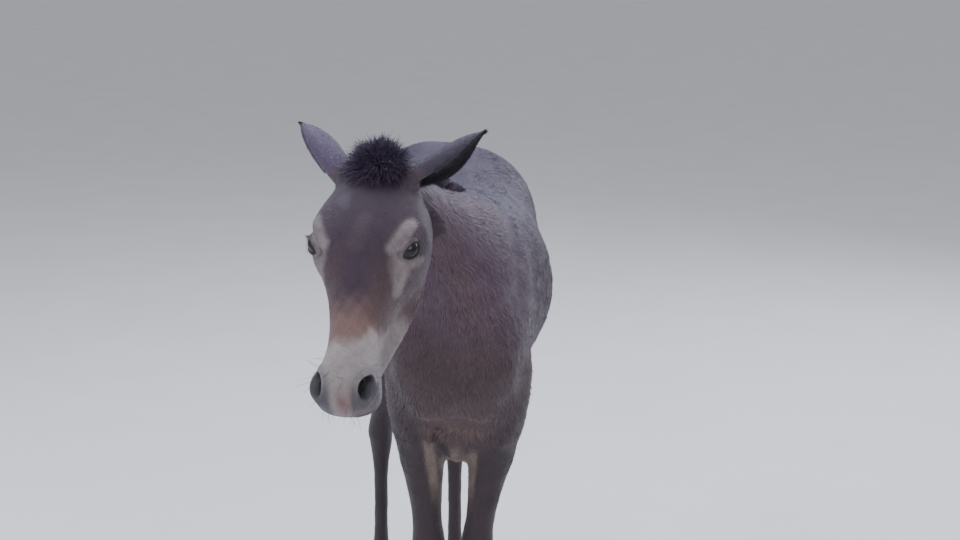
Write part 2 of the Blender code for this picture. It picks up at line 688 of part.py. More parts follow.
# The eyes, their sockets and the almond openings between the lids.
for side, name in ((1, "eye_left"), (-1, "eye_right")):
    centre = on_head(eye["along"], eye["up"], eye["side"] * side)
    look = unit(0.93 * side * left_way + 0.42 * brow_way + 0.50 * nose_way)
    slant = unit(0.77 * nose_way + 0.33 * brow_way - 0.55 * side * left_way)
    slant = unit(slant - np.dot(slant, look) * look)
    lift = np.cross(look, slant)
    axes = (slant, lift, look)
    nodes[name] = ball(name, centre, [eye["radius"]] * 3, axes, 16, 8)
    cut(head, ball("socket", centre, [eye["radius"] + 0.0004] * 3, axes, 16, 8))
    turn = np.linspace(0, 2 * math.pi, 20, endpoint=False)
    wide = eye_opening[0] * np.cos(turn)
    high = eye_opening[1] * np.sign(np.sin(turn)) * np.abs(np.sin(turn)) ** 1.15
    rings = [centre + look * deep + wide[:, None] * slant * grow + high[:, None] * lift * grow
             for deep, grow in ((0.010, 0.85), (0.022, 1.02), (0.034, 1.6))]
    cut(head, skinned("opening", rings))

# The nostrils, and the line of the mouth from corner to corner.
for side in (-1, 1):
    facing = unit(0.60 * brow_way + 0.66 * side * left_way + 0.35 * nose_way)
    long_way = nose_way - 0.15 * side * left_way
    long_way = unit(long_way - np.dot(long_way, facing) * facing)
    place = on_head(nostril["along"], nostril["up"], nostril["side"] * side)
    tilt = (long_way, np.cross(facing, long_way), facing)
    cut(head, ball("nostril", place, nostril["size"], tilt, 12, 8))
turn = np.linspace(math.radians(-118), math.radians(118), 25)
ring_out, ring_in = [], []
for angle in turn:
    reach = np.array((math.cos(angle), math.sin(angle)))
    ring_out.append((0.333 + 0.100 * reach[0] * (1 if reach[0] > 0 else 0.2), 0.075 * reach[1]))
    ring_in.append((0.333 + 0.054 * reach[0] * (1 if reach[0] > 0 else 0.2), 0.030 * reach[1]))
points, faces = [], []
for (u_out, x_out), (u_in, x_in) in zip(ring_out, ring_in):
    for along, across, lift in ((u_out, x_out, 0.0009), (u_in, x_in, 0.0009),
                                (u_in, x_in, -0.0009), (u_out, x_out, -0.0009)):
        points.append(on_head(along, -0.027 - 0.10 * (along - 0.326) + lift, across))
for index in range(len(turn) - 1):
    a, b = index * 4, index * 4 + 4
    for first in range(4):
        second = (first + 1) % 4
        faces.append((a + first, a + second, b + second, b + first))
last = (len(turn) - 1) * 4
faces.append((0, 1, 2, 3))
faces.append((last + 3, last + 2, last + 1, last))
cut(head, helper("mouth", points, faces))
for node in ("head", "ear_left", "ear_right"):
    largest_only(nodes[node])

# The mane: one brush of short locks along the crest, leaning by turns to either side.
home = hair_home("mane_locks")
crest_rows = [row for row in curve_rows(neck_line, 160) if -0.572 < row[1] < -0.232]
for step in range(mane["steps"]):
    row = crest_rows[int((step + 0.5) * len(crest_rows) / mane["steps"])]
    rise = unit(row[:3] - row[3:6])
    across = unit(np.cross((-0.2, -0.9, 0.3), rise))
    along = np.cross(across, rise)
    side = 1 - 2 * (step % 2)
    lean = side * mane["lean"] * luck.uniform(0.35, 1.15) * across
    sweep = along * luck.uniform(-0.38, 0.28)
    # Full along the neck, shorter toward the withers and over the poll.
    share = step / mane["steps"]
    fade = min(1.0, 0.50 + 1.6 * share, 0.34 + 1.3 * (1.0 - share) ** 2)
    fall = lean * 0.25 + along * luck.uniform(-0.15, 0.15)
    long = mane["long"] * fade * luck.uniform(0.88, 1.06)
    lock(home, row[:3] + across * 0.003 * side, rise + lean + sweep, fall, along + 0.25 * side * across,
         long, mane["wide"], mane["thick"])
grow(nodes["neck"], home)
cut(nodes["neck"], block("clear_withers", np.array((-0.010, -0.320, 0.985)) + 0.04 * unit((0.06, 0.78, -0.62)),
                         (0.08 + gap / 2, 0.46, 0.62), (-0.06, -0.78, 0.62), (1, 0, 0)))
poll_plane = unit(0.792 * nose_way + 0.610 * brow_way)
cut(nodes["neck"], block("clear_head", on_head(0.015, -0.0292, 0) + 0.05 * poll_plane,
                         (0.10 + gap / 2, 0.24, 0.36), poll_plane, left_way))

# The tuft between the ears: locks spreading from the crown.
home = hair_home("tuft_locks")
for index in range(tuft["locks"]):
    turn = index * 2.399963
    reach = math.sqrt((index + 0.5) / tuft["locks"])
    ahead, aside = math.cos(turn) * reach, math.sin(turn) * reach
    root = on_head(0.004 + 0.024 * ahead, 0.080 - 0.022 * reach**2, 0.028 * aside)
    way = unit(brow_way * 0.60 + upward * 0.40) + 0.70 * ahead * nose_way + 0.62 * aside * left_way
    fall = 0.30 * ahead * nose_way + 0.25 * aside * left_way - 0.20 * upward * reach
    face = left_way * math.cos(turn) - nose_way * math.sin(turn)
    lock(home, root, way, fall, face, tuft["long"] * luck.uniform(0.82, 1.05) * (1 - 0.20 * reach),
         tuft["wide"], tuft["thick"], 0.012, ((0.0, 0.85), (0.55, 1.0), (0.88, 0.50)))
grow(head, home)
behind = on_head(0.015, -0.0292, 0) - 0.03 * poll_plane - 0.09 * np.cross(poll_plane, left_way)
cut(head, block("clear_neck", behind, (0.06 + gap / 2, 0.10, 0.18), poll_plane, left_way))
largest_only(head)
largest_only(nodes["neck"])

# The tail: locks all round the dock, hanging and overlapping down to a soft point.
home = hair_home("tail_locks")
dock = np.array([row for row in curve_rows(tail_line, 120) if row[1] > 0.472])
dock[:, :3] = sway(dock[:, :3])
for ring in range(tail["rings"]):
    index = int(ring * (len(dock) - 2) / (tail["rings"] + 0.6))
    place, ahead = dock[index], unit(dock[index + 1, :3] - dock[index, :3])
    behind = np.cross((1.0, 0.0, 0.0), ahead)
    for index in range(tail["around"]):
        turn = 2 * math.pi * (index + 0.5 * (ring % 2)) / tail["around"] + luck.uniform(-0.2, 0.2)
        out = math.cos(turn) * np.array((1.0, 0.0, 0.0)) - math.sin(turn) * behind
        spread = 0.16 if out[1] < -0.2 else 0.40
        thick = place[3] * tail["core"]
        shrink = 1.0 - 0.30 * max(0.0, (ring - 5) / tail["rings"])
        lock(home, place[:3] + out * thick * 0.7, out * spread + ahead, -out * 0.24 - upward * 0.08,
             np.cross(out, ahead), tail["long"] * shrink * luck.uniform(0.85, 1.05), tail["wide"] * shrink,
             tail["thick"], 0.012, ((0.0, 0.70), (0.34, 1.0), (0.68, 0.80), (0.90, 0.40)))
grow(nodes["tail"], home)
cut(nodes["tail"], block("clear_rump", (0, 0.456 - 0.1, 0.80), (0.2 + gap / 2, 0.3, 0.8), (0, 1, 0), (1, 0, 0)))
largest_only(nodes["tail"])

# The hooves: flat soles, a sloping wall and a flat top just below each leg's end.
for name, place in coronets.items():
    rings = []
    up = unit(hoof_slope)
    for height, half_wide, toe, heel, moved in hoof_rings:
        centre = np.array((place[0], place[1] + moved, height))
        rings.append(oval(centre, (-1, 0, 0), (0, -1, 0), half_wide, toe, heel, 18, 2.2))
    hoof = skinned(name + "_hoof", rings)
    cut(hoof, block("top", place + up * (0.06 - gap / 2), (0.12, 0.2, 0.2), hoof_slope, (1, 0, 0)))
    nodes[name + "_hoof"] = hoof


def coat(name, colour, rough):
    """A plain material of one colour."""
    made = bpy.data.materials.new(name)
    made.use_nodes = True
    shader = made.node_tree.nodes["Principled BSDF"]
    shader.inputs["Base Color"].default_value = (*colour, 1.0)
    shader.inputs["Roughness"].default_value = rough
    made.diffuse_color = (*colour, 1.0)
    return made


# Every node gets its own material, and the whole is moved onto the ground and over the origin.
low = np.array([1e9] * 3)
high = -low
for node in nodes.values():
    corners = np.empty(len(node.data.vertices) * 3)
    node.data.vertices.foreach_get("co", corners)
    corners = corners.reshape(-1, 3)
    low, high = np.minimum(low, corners.min(axis=0)), np.maximum(high, corners.max(axis=0))
move = Matrix.Translation(Vector((-(low[0] + high[0]) / 2, -(low[1] + high[1]) / 2, -low[2])))
for name, node in sorted(nodes.items()):
    node.data.transform(move)
    node.name = name
    if name.startswith("eye"):
        kind, rough = "eye", 0.08
    elif name.endswith("hoof"):
        kind, rough = "hoof", 0.5
    elif name.startswith("ear"):
        kind, rough = "ear", 0.8
    elif name == "tail":
        kind, rough = "hair", 0.7
    elif name.endswith("lower"):
        kind, rough = "coat_legs", 0.75
    else:
        kind, rough = "coat", 0.75
    node.data.materials.clear()
    node.data.materials.append(coat(name + "_" + kind, colours[kind], rough))
    helpers.objects.unlink(node)
    foal.objects.link(node)
    node.hide_render = False
    node.display_type = "TEXTURED"
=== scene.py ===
import math
import time
import bmesh
import bpy
import numpy as np
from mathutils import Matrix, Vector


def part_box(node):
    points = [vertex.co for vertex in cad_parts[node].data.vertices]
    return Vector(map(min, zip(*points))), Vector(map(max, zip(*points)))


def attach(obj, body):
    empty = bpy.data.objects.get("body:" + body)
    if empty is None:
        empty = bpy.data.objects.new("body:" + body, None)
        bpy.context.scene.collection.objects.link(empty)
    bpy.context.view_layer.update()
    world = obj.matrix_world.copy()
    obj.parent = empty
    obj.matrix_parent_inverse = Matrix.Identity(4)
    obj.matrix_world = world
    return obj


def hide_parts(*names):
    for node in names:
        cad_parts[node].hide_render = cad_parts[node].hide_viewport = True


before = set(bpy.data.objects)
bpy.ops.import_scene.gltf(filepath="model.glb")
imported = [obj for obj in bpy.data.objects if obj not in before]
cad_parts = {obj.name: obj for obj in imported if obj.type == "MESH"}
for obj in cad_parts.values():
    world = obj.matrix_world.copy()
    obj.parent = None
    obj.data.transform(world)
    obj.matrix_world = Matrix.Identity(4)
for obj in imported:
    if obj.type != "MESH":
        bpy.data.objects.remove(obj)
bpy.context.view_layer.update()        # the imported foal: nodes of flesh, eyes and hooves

startTime = time.time()


def report(stage):
    print("%6.1f s  %s" % (time.time() - startTime, stage))


# Measures

headPose = {"poll": (-0.100, -0.577, 1.176), "turn": 11.1, "dip": 53.0}
poll = np.array(headPose["poll"])
headTurn, headDip = math.radians(headPose["turn"]), math.radians(headPose["dip"])
forward = np.array((-math.sin(headTurn), -math.cos(headTurn), 0.0))
upward = np.array((0.0, 0.0, 1.0))
noseWay = math.cos(headDip) * forward - math.sin(headDip) * upward
browWay = math.sin(headDip) * forward + math.cos(headDip) * upward
leftWay = np.array((math.cos(headTurn), -math.sin(headTurn), 0.0))
headAxes = np.array((noseWay, browWay, leftWay))

eyePlan = {"along": 0.143, "up": 0.0445, "side": 0.0720, "radius": 0.0195, "wide": 0.0176,
           "upper": 0.0116, "lower": 0.0092}


def onHead(along, up, side):
    return poll + along * noseWay + up * browWay + side * leftWay


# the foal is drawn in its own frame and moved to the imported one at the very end
eyeLow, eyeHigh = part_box("eye_left")
move = np.array(eyeLow + eyeHigh) / 2 - onHead(eyePlan["along"], eyePlan["up"], eyePlan["side"])

trunkRows = (  # back, top, bottom, half width, height of the widest place
    (-0.450, 0.905, 0.790, 0.050, 0.846), (-0.436, 0.955, 0.752, 0.090, 0.842),
    (-0.402, 1.000, 0.722, 0.115, 0.830),
    (-0.345, 1.046, 0.694, 0.130, 0.830), (-0.275, 1.086, 0.678, 0.137, 0.840),
    (-0.200, 1.102, 0.682, 0.141, 0.850),
    (-0.110, 1.092, 0.689, 0.154, 0.850), (-0.020, 1.080, 0.695, 0.169, 0.855),
    (0.060, 1.078, 0.706, 0.180, 0.862),
    (0.130, 1.090, 0.724, 0.176, 0.880), (0.200, 1.108, 0.756, 0.172, 0.920),
    (0.260, 1.122, 0.784, 0.170, 0.950),
    (0.330, 1.109, 0.806, 0.160, 0.960), (0.390, 1.068, 0.826, 0.128, 0.950),
    (0.430, 1.015, 0.850, 0.095, 0.935),
    (0.450, 0.970, 0.885, 0.058, 0.930),
)
neckRows = (  # a place on the crest, the place under it, half width
    (0.000, -0.120, 1.088, 0.000, -0.430, 0.770, 0.116),
    (0.000, -0.200, 1.100, 0.000, -0.448, 0.840, 0.108),
    (-0.008, -0.270, 1.108, -0.012, -0.458, 0.890, 0.094),
    (-0.026, -0.340, 1.124, -0.030, -0.466, 0.930, 0.080),
    (-0.050, -0.410, 1.148, -0.050, -0.474, 0.963, 0.069),
    (-0.074, -0.480, 1.178, -0.071, -0.486, 0.998, 0.062),
    (-0.094, -0.535, 1.202, -0.086, -0.502, 1.038, 0.058),
    (-0.104, -0.578, 1.204, -0.094, -0.535, 1.072, 0.052),
)
skullRows = (  # distance from the poll, forehead side, jaw side, half width, level of the widest place
    (-0.041, 0.018, 0.040, 0.030, -0.010), (-0.018, 0.044, 0.070, 0.050, -0.005),
    (0.018, 0.064, 0.090, 0.066, 0.006),
    (0.055, 0.078, 0.106, 0.081, 0.014), (0.092, 0.086, 0.113, 0.095, 0.022),
    (0.129, 0.086, 0.112, 0.101, 0.030),
    (0.161, 0.080, 0.107, 0.092, 0.024), (0.193, 0.070, 0.099, 0.071, 0.008),
    (0.230, 0.060, 0.090, 0.055, -0.006),
    (0.278, 0.051, 0.078, 0.045, -0.014), (0.318, 0.045, 0.067, 0.044, -0.016),
    (0.350, 0.040, 0.060, 0.051, -0.017),
    (0.377, 0.032, 0.054, 0.055, -0.019), (0.395, 0.020, 0.046, 0.046, -0.019),
    (0.405, 0.006, 0.036, 0.028, -0.019),
)
forelegRows = (  # height, across, distance back, half width, half depth
    (0.860, 0.086, -0.290, 0.046, 0.080), (0.780, 0.092, -0.285, 0.051, 0.080),
    (0.710, 0.0760, -0.285, 0.0600, 0.080),
    (0.655, 0.0685, -0.275, 0.0590, 0.068), (0.590, 0.0635, -0.268, 0.0470, 0.052),
    (0.530, 0.0570, -0.268, 0.0360, 0.041),
    (0.475, 0.051, -0.271, 0.0315, 0.035), (0.440, 0.048, -0.274, 0.034, 0.035),
    (0.412, 0.047, -0.274, 0.0355, 0.036),
    (0.385, 0.046, -0.270, 0.032, 0.033), (0.350, 0.046, -0.267, 0.022, 0.0265),
    (0.290, 0.046, -0.267, 0.0190, 0.0245),
    (0.215, 0.046, -0.267, 0.0185, 0.0245), (0.180, 0.046, -0.266, 0.0215, 0.0280),
    (0.152, 0.046, -0.265, 0.0270, 0.0310),
    (0.126, 0.046, -0.271, 0.0245, 0.0280), (0.100, 0.046, -0.286, 0.0220, 0.0245),
    (0.076, 0.046, -0.300, 0.0245, 0.0270),
    (0.052, 0.046, -0.312, 0.0290, 0.0330), (0.030, 0.046, -0.320, 0.0290, 0.0340),
)
hindlegRows = (
    (0.980, 0.080, 0.270, 0.050, 0.100), (0.900, 0.090, 0.275, 0.066, 0.134),
    (0.820, 0.094, 0.268, 0.069, 0.140),
    (0.750, 0.093, 0.255, 0.064, 0.124), (0.690, 0.090, 0.256, 0.053, 0.098),
    (0.630, 0.086, 0.276, 0.043, 0.072),
    (0.570, 0.082, 0.308, 0.035, 0.054), (0.520, 0.079, 0.340, 0.029, 0.045),
    (0.485, 0.077, 0.360, 0.0295, 0.045),
    (0.450, 0.076, 0.368, 0.0310, 0.043), (0.415, 0.075, 0.369, 0.0280, 0.037),
    (0.370, 0.075, 0.365, 0.0215, 0.028),
    (0.300, 0.075, 0.358, 0.0190, 0.0255), (0.215, 0.075, 0.350, 0.0190, 0.0255),
    (0.180, 0.075, 0.347, 0.0220, 0.0290),
    (0.155, 0.075, 0.345, 0.0270, 0.0315), (0.128, 0.075, 0.337, 0.0245, 0.0280),
    (0.102, 0.075, 0.323, 0.0220, 0.0245),
    (0.078, 0.075, 0.310, 0.0245, 0.0270), (0.052, 0.075, 0.298, 0.0285, 0.0320),
    (0.030, 0.075, 0.290, 0.0285, 0.0330),
)
stance = {  # side, rows, heights between which the leg leans, by how much
    "foreleg_left": (1, forelegRows, (0.70, 0.44), -0.014),
    "foreleg_right": (-1, forelegRows, (0.80, 0.44), -0.012),
    "hindleg_left": (1, hindlegRows, (0.92, 0.46), -0.130),
    "hindleg_right": (-1, hindlegRows, (0.92, 0.46), -0.148),
}
tailRows = (  # the dock: centre and half thickness
    (0.000, 0.375, 1.012, 0.044), (0.000, 0.425, 0.998, 0.034), (0.000, 0.464, 0.968, 0.027),
    (0.000, 0.490, 0.928, 0.025),
    (0.000, 0.502, 0.870, 0.026), (0.000, 0.504, 0.800, 0.027), (0.000, 0.502, 0.730, 0.022),
    (0.000, 0.498, 0.668, 0.008),
)

# Numbers and arrays


def unit(v):
    v = np.asarray(v, float)
    return v / np.maximum(np.linalg.norm(v, axis=-1, keepdims=True), 1e-12)


def ramp(x, low, high):          # 0 below low, 1 above high, a smooth S between
    t = np.clip((x - low) / (high - low), 0.0, 1.0)
    return t * t * (3 - 2 * t)


def bump(x, middle, width):      # a bell: 1 at the middle, falling off with the square of the distance
    return np.exp(-((x - middle) / width) ** 2)


def inHead(points):              # along the face, over its axis, to the left
    return (points - poll) @ headAxes.T


def atHeight(rows, z, column):   # a leg's measure at each height
    return np.interp(-z, -rows[:, 0], rows[:, column])


def rowAt(rows, height):         # the row nearest a height
    return rows[np.abs(rows[:, 0] - height).argmin()]


def mouthLine(h):                # how high the line of the mouth runs
    return -0.027 - 0.10 * (h[:, 0] - 0.326)


def eyeCentre(side):
    return onHead(eyePlan["along"], eyePlan["up"], eyePlan["side"] * side)


def neckAcross(rise):            # level across the neck, at right angles to its rise
    return unit(np.cross((-0.2, -0.9, 0.3), rise))


def ripple(points, size, seed):  # smooth noise near -1 to 1: sines along seeded directions, added up
    draw = np.random.default_rng(seed)
    ways = unit(draw.normal(size=(7, 3))) / size * draw.uniform(0.6, 1.7, (7, 1))
    return np.sin(points @ ways.T * 2 * math.pi + draw.uniform(0, 6.28, 7)).sum(axis=1) / 3.2


def smoothRows(rows, count):     # cubic curve through the rows, read at evenly spaced places
    rows = np.array(rows, float)
    slopes = np.gradient(rows, axis=0)
    places = np.linspace(0.0, len(rows) - 1.0, count)
    before = np.clip(places.astype(int), 0, len(rows) - 2)
    t = (places - before)[:, None]
    start = rows[before] * (2 * t**3 - 3 * t**2 + 1) + slopes[before] * (t**3 - 2 * t**2 + t)
    return start + rows[before + 1] * (3 * t**2 - 2 * t**3) + slopes[before + 1] * (t**3 - t**2)


def gridFaces(rows, cols, closed):  # quads of a rows x cols grid, joined round in each row where closed
    wide = cols if closed else cols - 1
    r, c = np.meshgrid(np.arange(rows - 1), np.arange(wide), indexing="ij")
    d = (c + 1) % cols
    return np.stack([r * cols + c, r * cols + d, (r + 1) * cols + d, (r + 1) * cols + c], -1).reshape(-1, 4)


def fans(count, around):         # triangles from the two added middles to the first and the last ring
    ring = np.arange(around)
    last = (count - 1) * around
    first = np.stack([np.full(around, count * around), (ring + 1) % around, ring], -1)
    return np.concatenate([first,
            np.stack([np.full(around, count * around + 1), last + ring, last + (ring + 1) % around], -1)])


# tube: centre + wide*cos^(2/n)*across + high*sin^(2/n)*rise, with separate heights above and
# below; fans close the ends
def tube(centres, across, rise, wide, above, below, around=32, fullness=2.2):
    count = len(centres)
    turn = np.linspace(0, 2 * math.pi, around, endpoint=False)
    c, s = np.cos(turn), np.sin(turn)
    power = 2 / np.reshape(fullness, (-1, 1))
    c, s = np.sign(c) * np.abs(c) ** power, np.sign(s) * np.abs(s) ** power
    high = np.where(s > 0, np.reshape(above, (-1, 1)), np.reshape(below, (-1, 1))) * s
    flat = np.reshape(wide, (-1, 1)) * c
    across, rise = np.broadcast_to(across, (count, 3)), np.broadcast_to(rise, (count, 3))
    points = centres[:, None] + flat[..., None] * across[:, None] + high[..., None] * rise[:, None]
    points = np.concatenate([points.reshape(-1, 3), centres[:1], centres[-1:]])
    return points, gridFaces(count, around, True), fans(count, around)


# ball: centre + radii*(unit sphere) along three axes
def ball(centre, radii, axes=None, around=28, rows=16):
    axes = np.identity(3) if axes is None else unit(axes)
    tilt = np.linspace(0, math.pi, rows + 1)[1:-1]
    ends = (np.cos(tilt)[:, None] * axes[2] * radii[2]) + np.asarray(centre)
    points, quads, tris = tube(ends, axes[0], axes[1], np.sin(tilt) * radii[0], np.sin(tilt) * radii[1],
                               np.sin(tilt) * radii[1], around, 2.0)
    points[-2] = np.asarray(centre) + axes[2] * radii[2]
    points[-1] = np.asarray(centre) - axes[2] * radii[2]
    return points, quads, tris


# cord: a round tube along a smooth curve through the places, thick as the radii say
def cord(places, radii, around=14):
    rows = smoothRows(np.column_stack([places, radii]), 6 * len(places))
    ahead = np.gradient(rows[:, :3], axis=0)
    across = unit(np.cross(ahead, (0.3, 0.2, 0.93)))
    return tube(rows[:, :3], across, unit(np.cross(across, ahead)), rows[:, 3], rows[:, 3], rows[:, 3],
                around, 2.0)


# the pelvis tipped over a rested hind leg: x + share*(moved - roll*lift), z - share*roll*x, share
# rising behind the loin
pelvis = {"roll": 0.105, "moved": -0.032, "level": 0.950}


def sway(points):
    x, y, z = points.T
    share = ramp(y, -0.05, 0.25) * np.maximum(ramp(z, 0.45, 0.85), ramp(y, 0.40, 0.47))
    lift = np.clip(z - pelvis["level"], -0.10, 0.20)
    moved = x + share * (pelvis["moved"] - pelvis["roll"] * lift)
    return np.stack([moved, y, z - share * pelvis["roll"] * x * ramp(z, 0.78, 0.95)], -1)


def addUp(shapes):               # several shapes as one list of points, quads and triangles
    shift, points, quads, tris = 0, [], [], []
    for p, q, t in shapes:
        points.append(p)
        quads.append(np.asarray(q, int).reshape(-1, 4) + shift)
        tris.append(np.asarray(t, int).reshape(-1, 3) + shift)
        shift += len(p)
    return np.concatenate(points), np.concatenate(quads), np.concatenate(tris)


def makeObject(name, points, quads=(), tris=(), smooth=True, moved=True):
    quads, tris = np.asarray(quads, np.int32).reshape(-1, 4), np.asarray(tris, np.int32).reshape(-1, 3)
    mesh = bpy.data.meshes.new(name)
    mesh.vertices.add(len(points))
    mesh.vertices.foreach_set("co",
            (np.asarray(points) + (move if moved else 0.0)).astype(np.float32).ravel())
    mesh.loops.add(quads.size + tris.size)
    mesh.loops.foreach_set("vertex_index", np.concatenate([quads.ravel(), tris.ravel()]))
    mesh.polygons.add(len(quads) + len(tris))
    starts = np.concatenate([np.arange(len(quads)) * 4, quads.size + np.arange(len(tris)) * 3])
    mesh.polygons.foreach_set("loop_start", starts.astype(np.int32))
    mesh.update(calc_edges=True)
    mesh.polygons.foreach_set("use_smooth", np.full(len(mesh.polygons), smooth))
    made = bpy.data.objects.new(name, mesh)
    bpy.context.scene.collection.objects.link(made)
    return made


def pointsOf(mesh):
    points = np.empty(len(mesh.vertices) * 3, np.float32)
    mesh.vertices.foreach_get("co", points)
    return points.reshape(-1, 3).astype(float) - move


def normalsOf(mesh):
    normals = np.empty(len(mesh.vertices) * 3, np.float32)
    mesh.vertices.foreach_get("normal", normals)
    return normals.reshape(-1, 3).astype(float)


def setPoints(mesh, points):
    mesh.vertices.foreach_set("co", (points + move).astype(np.float32).ravel())
    mesh.update()


def paint(mesh, tint):           # one colour for each point, kept as the attribute coatTint
    layer = mesh.attributes.get("coatTint") or mesh.attributes.new("coatTint", "FLOAT_COLOR", "POINT")
    layer.data.foreach_set("color", np.column_stack([tint, np.ones(len(tint))]).astype(np.float32).ravel())


def settle(target):              # modifiers made part of the mesh
    bpy.context.view_layer.update()
    solid = bpy.data.meshes.new_from_object(target.evaluated_get(bpy.context.evaluated_depsgraph_get()))
    target.modifiers.clear()
    target.data = solid


def reshape(target, change):     # a change made to the mesh through bmesh
    work = bmesh.new()
    work.from_mesh(target.data)
    work.verts.ensure_lookup_table()
    change(work)
    work.to_mesh(target.data)
    work.free()


def wire(tree, source, output, target, socket):     # a link between two shader nodes
    tree.links.new(source.outputs[output], target.inputs[socket])


# Camera and light

view = {"place": (0.220, -3.413, 1.645), "azimuth": 3.3, "down": 12.3, "lens": 65.6}
camera = bpy.data.objects.new("camera", bpy.data.cameras.new("camera"))
bpy.context.scene.collection.objects.link(camera)
camera.location = tuple(np.array(view["place"]) + move)
camera.rotation_euler = (math.radians(90 - view["down"]), 0.0, math.radians(view["azimuth"]))
camera.data.lens = view["lens"]
camera.data.sensor_width = 36.0
camera.data.clip_end = 200.0
bpy.context.scene.camera = camera

lamps = {  # place, size, watts, colour
    "skyPanel": ((-0.6, 0.6, 4.2), 4.0, 195.0, (0.84, 0.88, 1.0)),
    "frontPanel": ((1.6, -3.4, 2.6), 2.6, 74.0, (1.0, 0.97, 0.94)),
    "sidePanel": ((-3.2, -1.4, 2.0), 2.4, 42.0, (1.0, 0.97, 0.95)),
    "backPanel": ((2.4, 3.0, 2.8), 2.6, 84.0, (0.88, 0.91, 1.0)),
}
for name, (place, size, watts, colour) in lamps.items():
    lamp = bpy.data.lights.new(name, "AREA")
    lamp.shape, lamp.size, lamp.energy, lamp.color = "SQUARE", size, watts, colour
    holder = bpy.data.objects.new(name, lamp)
    bpy.context.scene.collection.objects.link(holder)
    holder.location = place
    aim = np.array((0.0, -0.1, 0.75)) - np.array(place)
    holder.rotation_euler = (math.atan2(math.hypot(aim[0], aim[1]), -aim[2]), 0.0,
            math.atan2(-aim[0], aim[1]))
world = bpy.data.worlds.new("paleRoom")
world.use_nodes = True
room = world.node_tree
room.nodes["Background"].inputs["Strength"].default_value = 0.60
skyWay = room.nodes.new("ShaderNodeTexCoord")
skyHeight = room.nodes.new("ShaderNodeSeparateXYZ")
skyTint = room.nodes.new("ShaderNodeValToRGB")      # as dim as the far floor at the horizon, brighter above
skyTint.color_ramp.elements[0].color = (0.64, 0.655, 0.70, 1.0)
skyTint.color_ramp.elements[1].color = (0.88, 0.92, 1.0, 1.0)
skyTint.color_ramp.elements[1].position = 0.55
wire(room, skyWay, "Generated", skyHeight, "Vector")
wire(room, skyHeight, "Z", skyTint, "Fac")
wire(room, skyTint, "Color", room.nodes["Background"], "Color")
bpy.context.scene.world = world


# Materials


def newMaterial(name, rough=0.6, **sockets):
    made = bpy.data.materials.new(name)
    made.use_nodes = True
    shader = made.node_tree.nodes["Principled BSDF"]
    shader.inputs["Roughness"].default_value = rough
    for label, value in sockets.items():
        shader.inputs[label.replace("_", " ")].default_value = value
    return made, made.node_tree, shader


def addNode(tree, kind, **values):
    made = tree.nodes.new(kind)
    for label, value in values.items():
        if hasattr(made, label):
            setattr(made, label, value)
        else:
            made.inputs[label.replace("_", " ")].default_value = value
    return made


# colour = painted tint x (1 + streak noise), bump = stretched noise laid along the coat
def coatMaterial(name, rough, sheen, streak, depth, size):
    made, tree, shader = newMaterial(name, rough)
    shader.inputs["Sheen Weight"].default_value = sheen
    shader.inputs["Sheen Roughness"].default_value = 0.45
    shader.inputs["Sheen Tint"].default_value = (0.80, 0.83, 1.0, 1.0)
    shader.inputs["Specular IOR Level"].default_value = 0.40
    tint = addNode(tree, "ShaderNodeAttribute", attribute_name="coatTint")
    place = addNode(tree, "ShaderNodeTexCoord")
    stretch = addNode(tree, "ShaderNodeMapping")
    stretch.inputs["Scale"].default_value = (1.0, 0.55, 0.42)
    wire(tree, place, "Object", stretch, "Vector")
    fine = addNode(tree, "ShaderNodeTexNoise", Scale=size, Detail=4.0, Roughness=0.62)
    wire(tree, stretch, "Vector", fine, "Vector")
    broad = addNode(tree, "ShaderNodeTexNoise", Scale=17.0, Detail=3.0, Roughness=0.5)
    wire(tree, place, "Object", broad, "Vector")
    both = addNode(tree, "ShaderNodeMath", operation="ADD")
    wire(tree, fine, "Fac", both, 0)
    wire(tree, broad, "Fac", both, 1)
    spread = addNode(tree, "ShaderNodeMapRange")
    spread.inputs["From Min"].default_value = 0.6
    spread.inputs["From Max"].default_value = 1.4
    spread.inputs["To Min"].default_value = 1.0 - streak
    spread.inputs["To Max"].default_value = 1.0 + streak
    wire(tree, both, 0, spread, "Value")
    shade = addNode(tree, "ShaderNodeVectorMath", operation="SCALE")
    wire(tree, tint, "Color", shade, 0)
    wire(tree, spread, "Result", shade, "Scale")
    wire(tree, shade, "Vector", shader, "Base Color")
    raised = addNode(tree, "ShaderNodeBump", Strength=depth, Distance=0.002)
    wire(tree, fine, "Fac", raised, "Height")
    wire(tree, raised, "Normal", shader, "Normal")
    return made


coatSkin = coatMaterial("shortCoat", 0.62, 0.12, 0.26, 0.9, 420.0)
coatTufts = coatMaterial("coatTufts", 0.52, 0.12, 0.20, 0.25, 260.0)
longHair = coatMaterial("maneHair", 0.50, 0.08, 0.25, 0.30, 300.0)


# Markings, painted shade and painted sheen

# the back tint is a painted blue sky sheen on the top of the body; grey is real grey skin and hair and is
# also laid on the face as painted shade and a painted highlight; dark is the black skin of the lids and the
# painted shade in nostrils and mouth; earInside is dark ear skin deepened with painted shade
tints = {
    "coat": (0.070, 0.043, 0.064), "back": (0.045, 0.033, 0.067), "side": (0.072, 0.046, 0.053),
    "leg": (0.034, 0.022, 0.028), "face": (0.038, 0.0190, 0.039), "rust": (0.092, 0.054, 0.056),
    "whorl": (0.066, 0.042, 0.058), "pale": (0.225, 0.190, 0.200), "tan": (0.168, 0.100, 0.090),
    "muzzle": (0.315, 0.280, 0.284), "pink": (0.215, 0.120, 0.124), "dark": (0.006, 0.005, 0.008),
    "cream": (0.165, 0.126, 0.108), "mane": (0.022, 0.0155, 0.031), "bib": (0.118, 0.074, 0.073),
    "grey": (0.090, 0.082, 0.108), "earBack": (0.046, 0.033, 0.064), "earInside": (0.011, 0.008, 0.011),
}
tints = {name: np.array(value) for name, value in tints.items()}


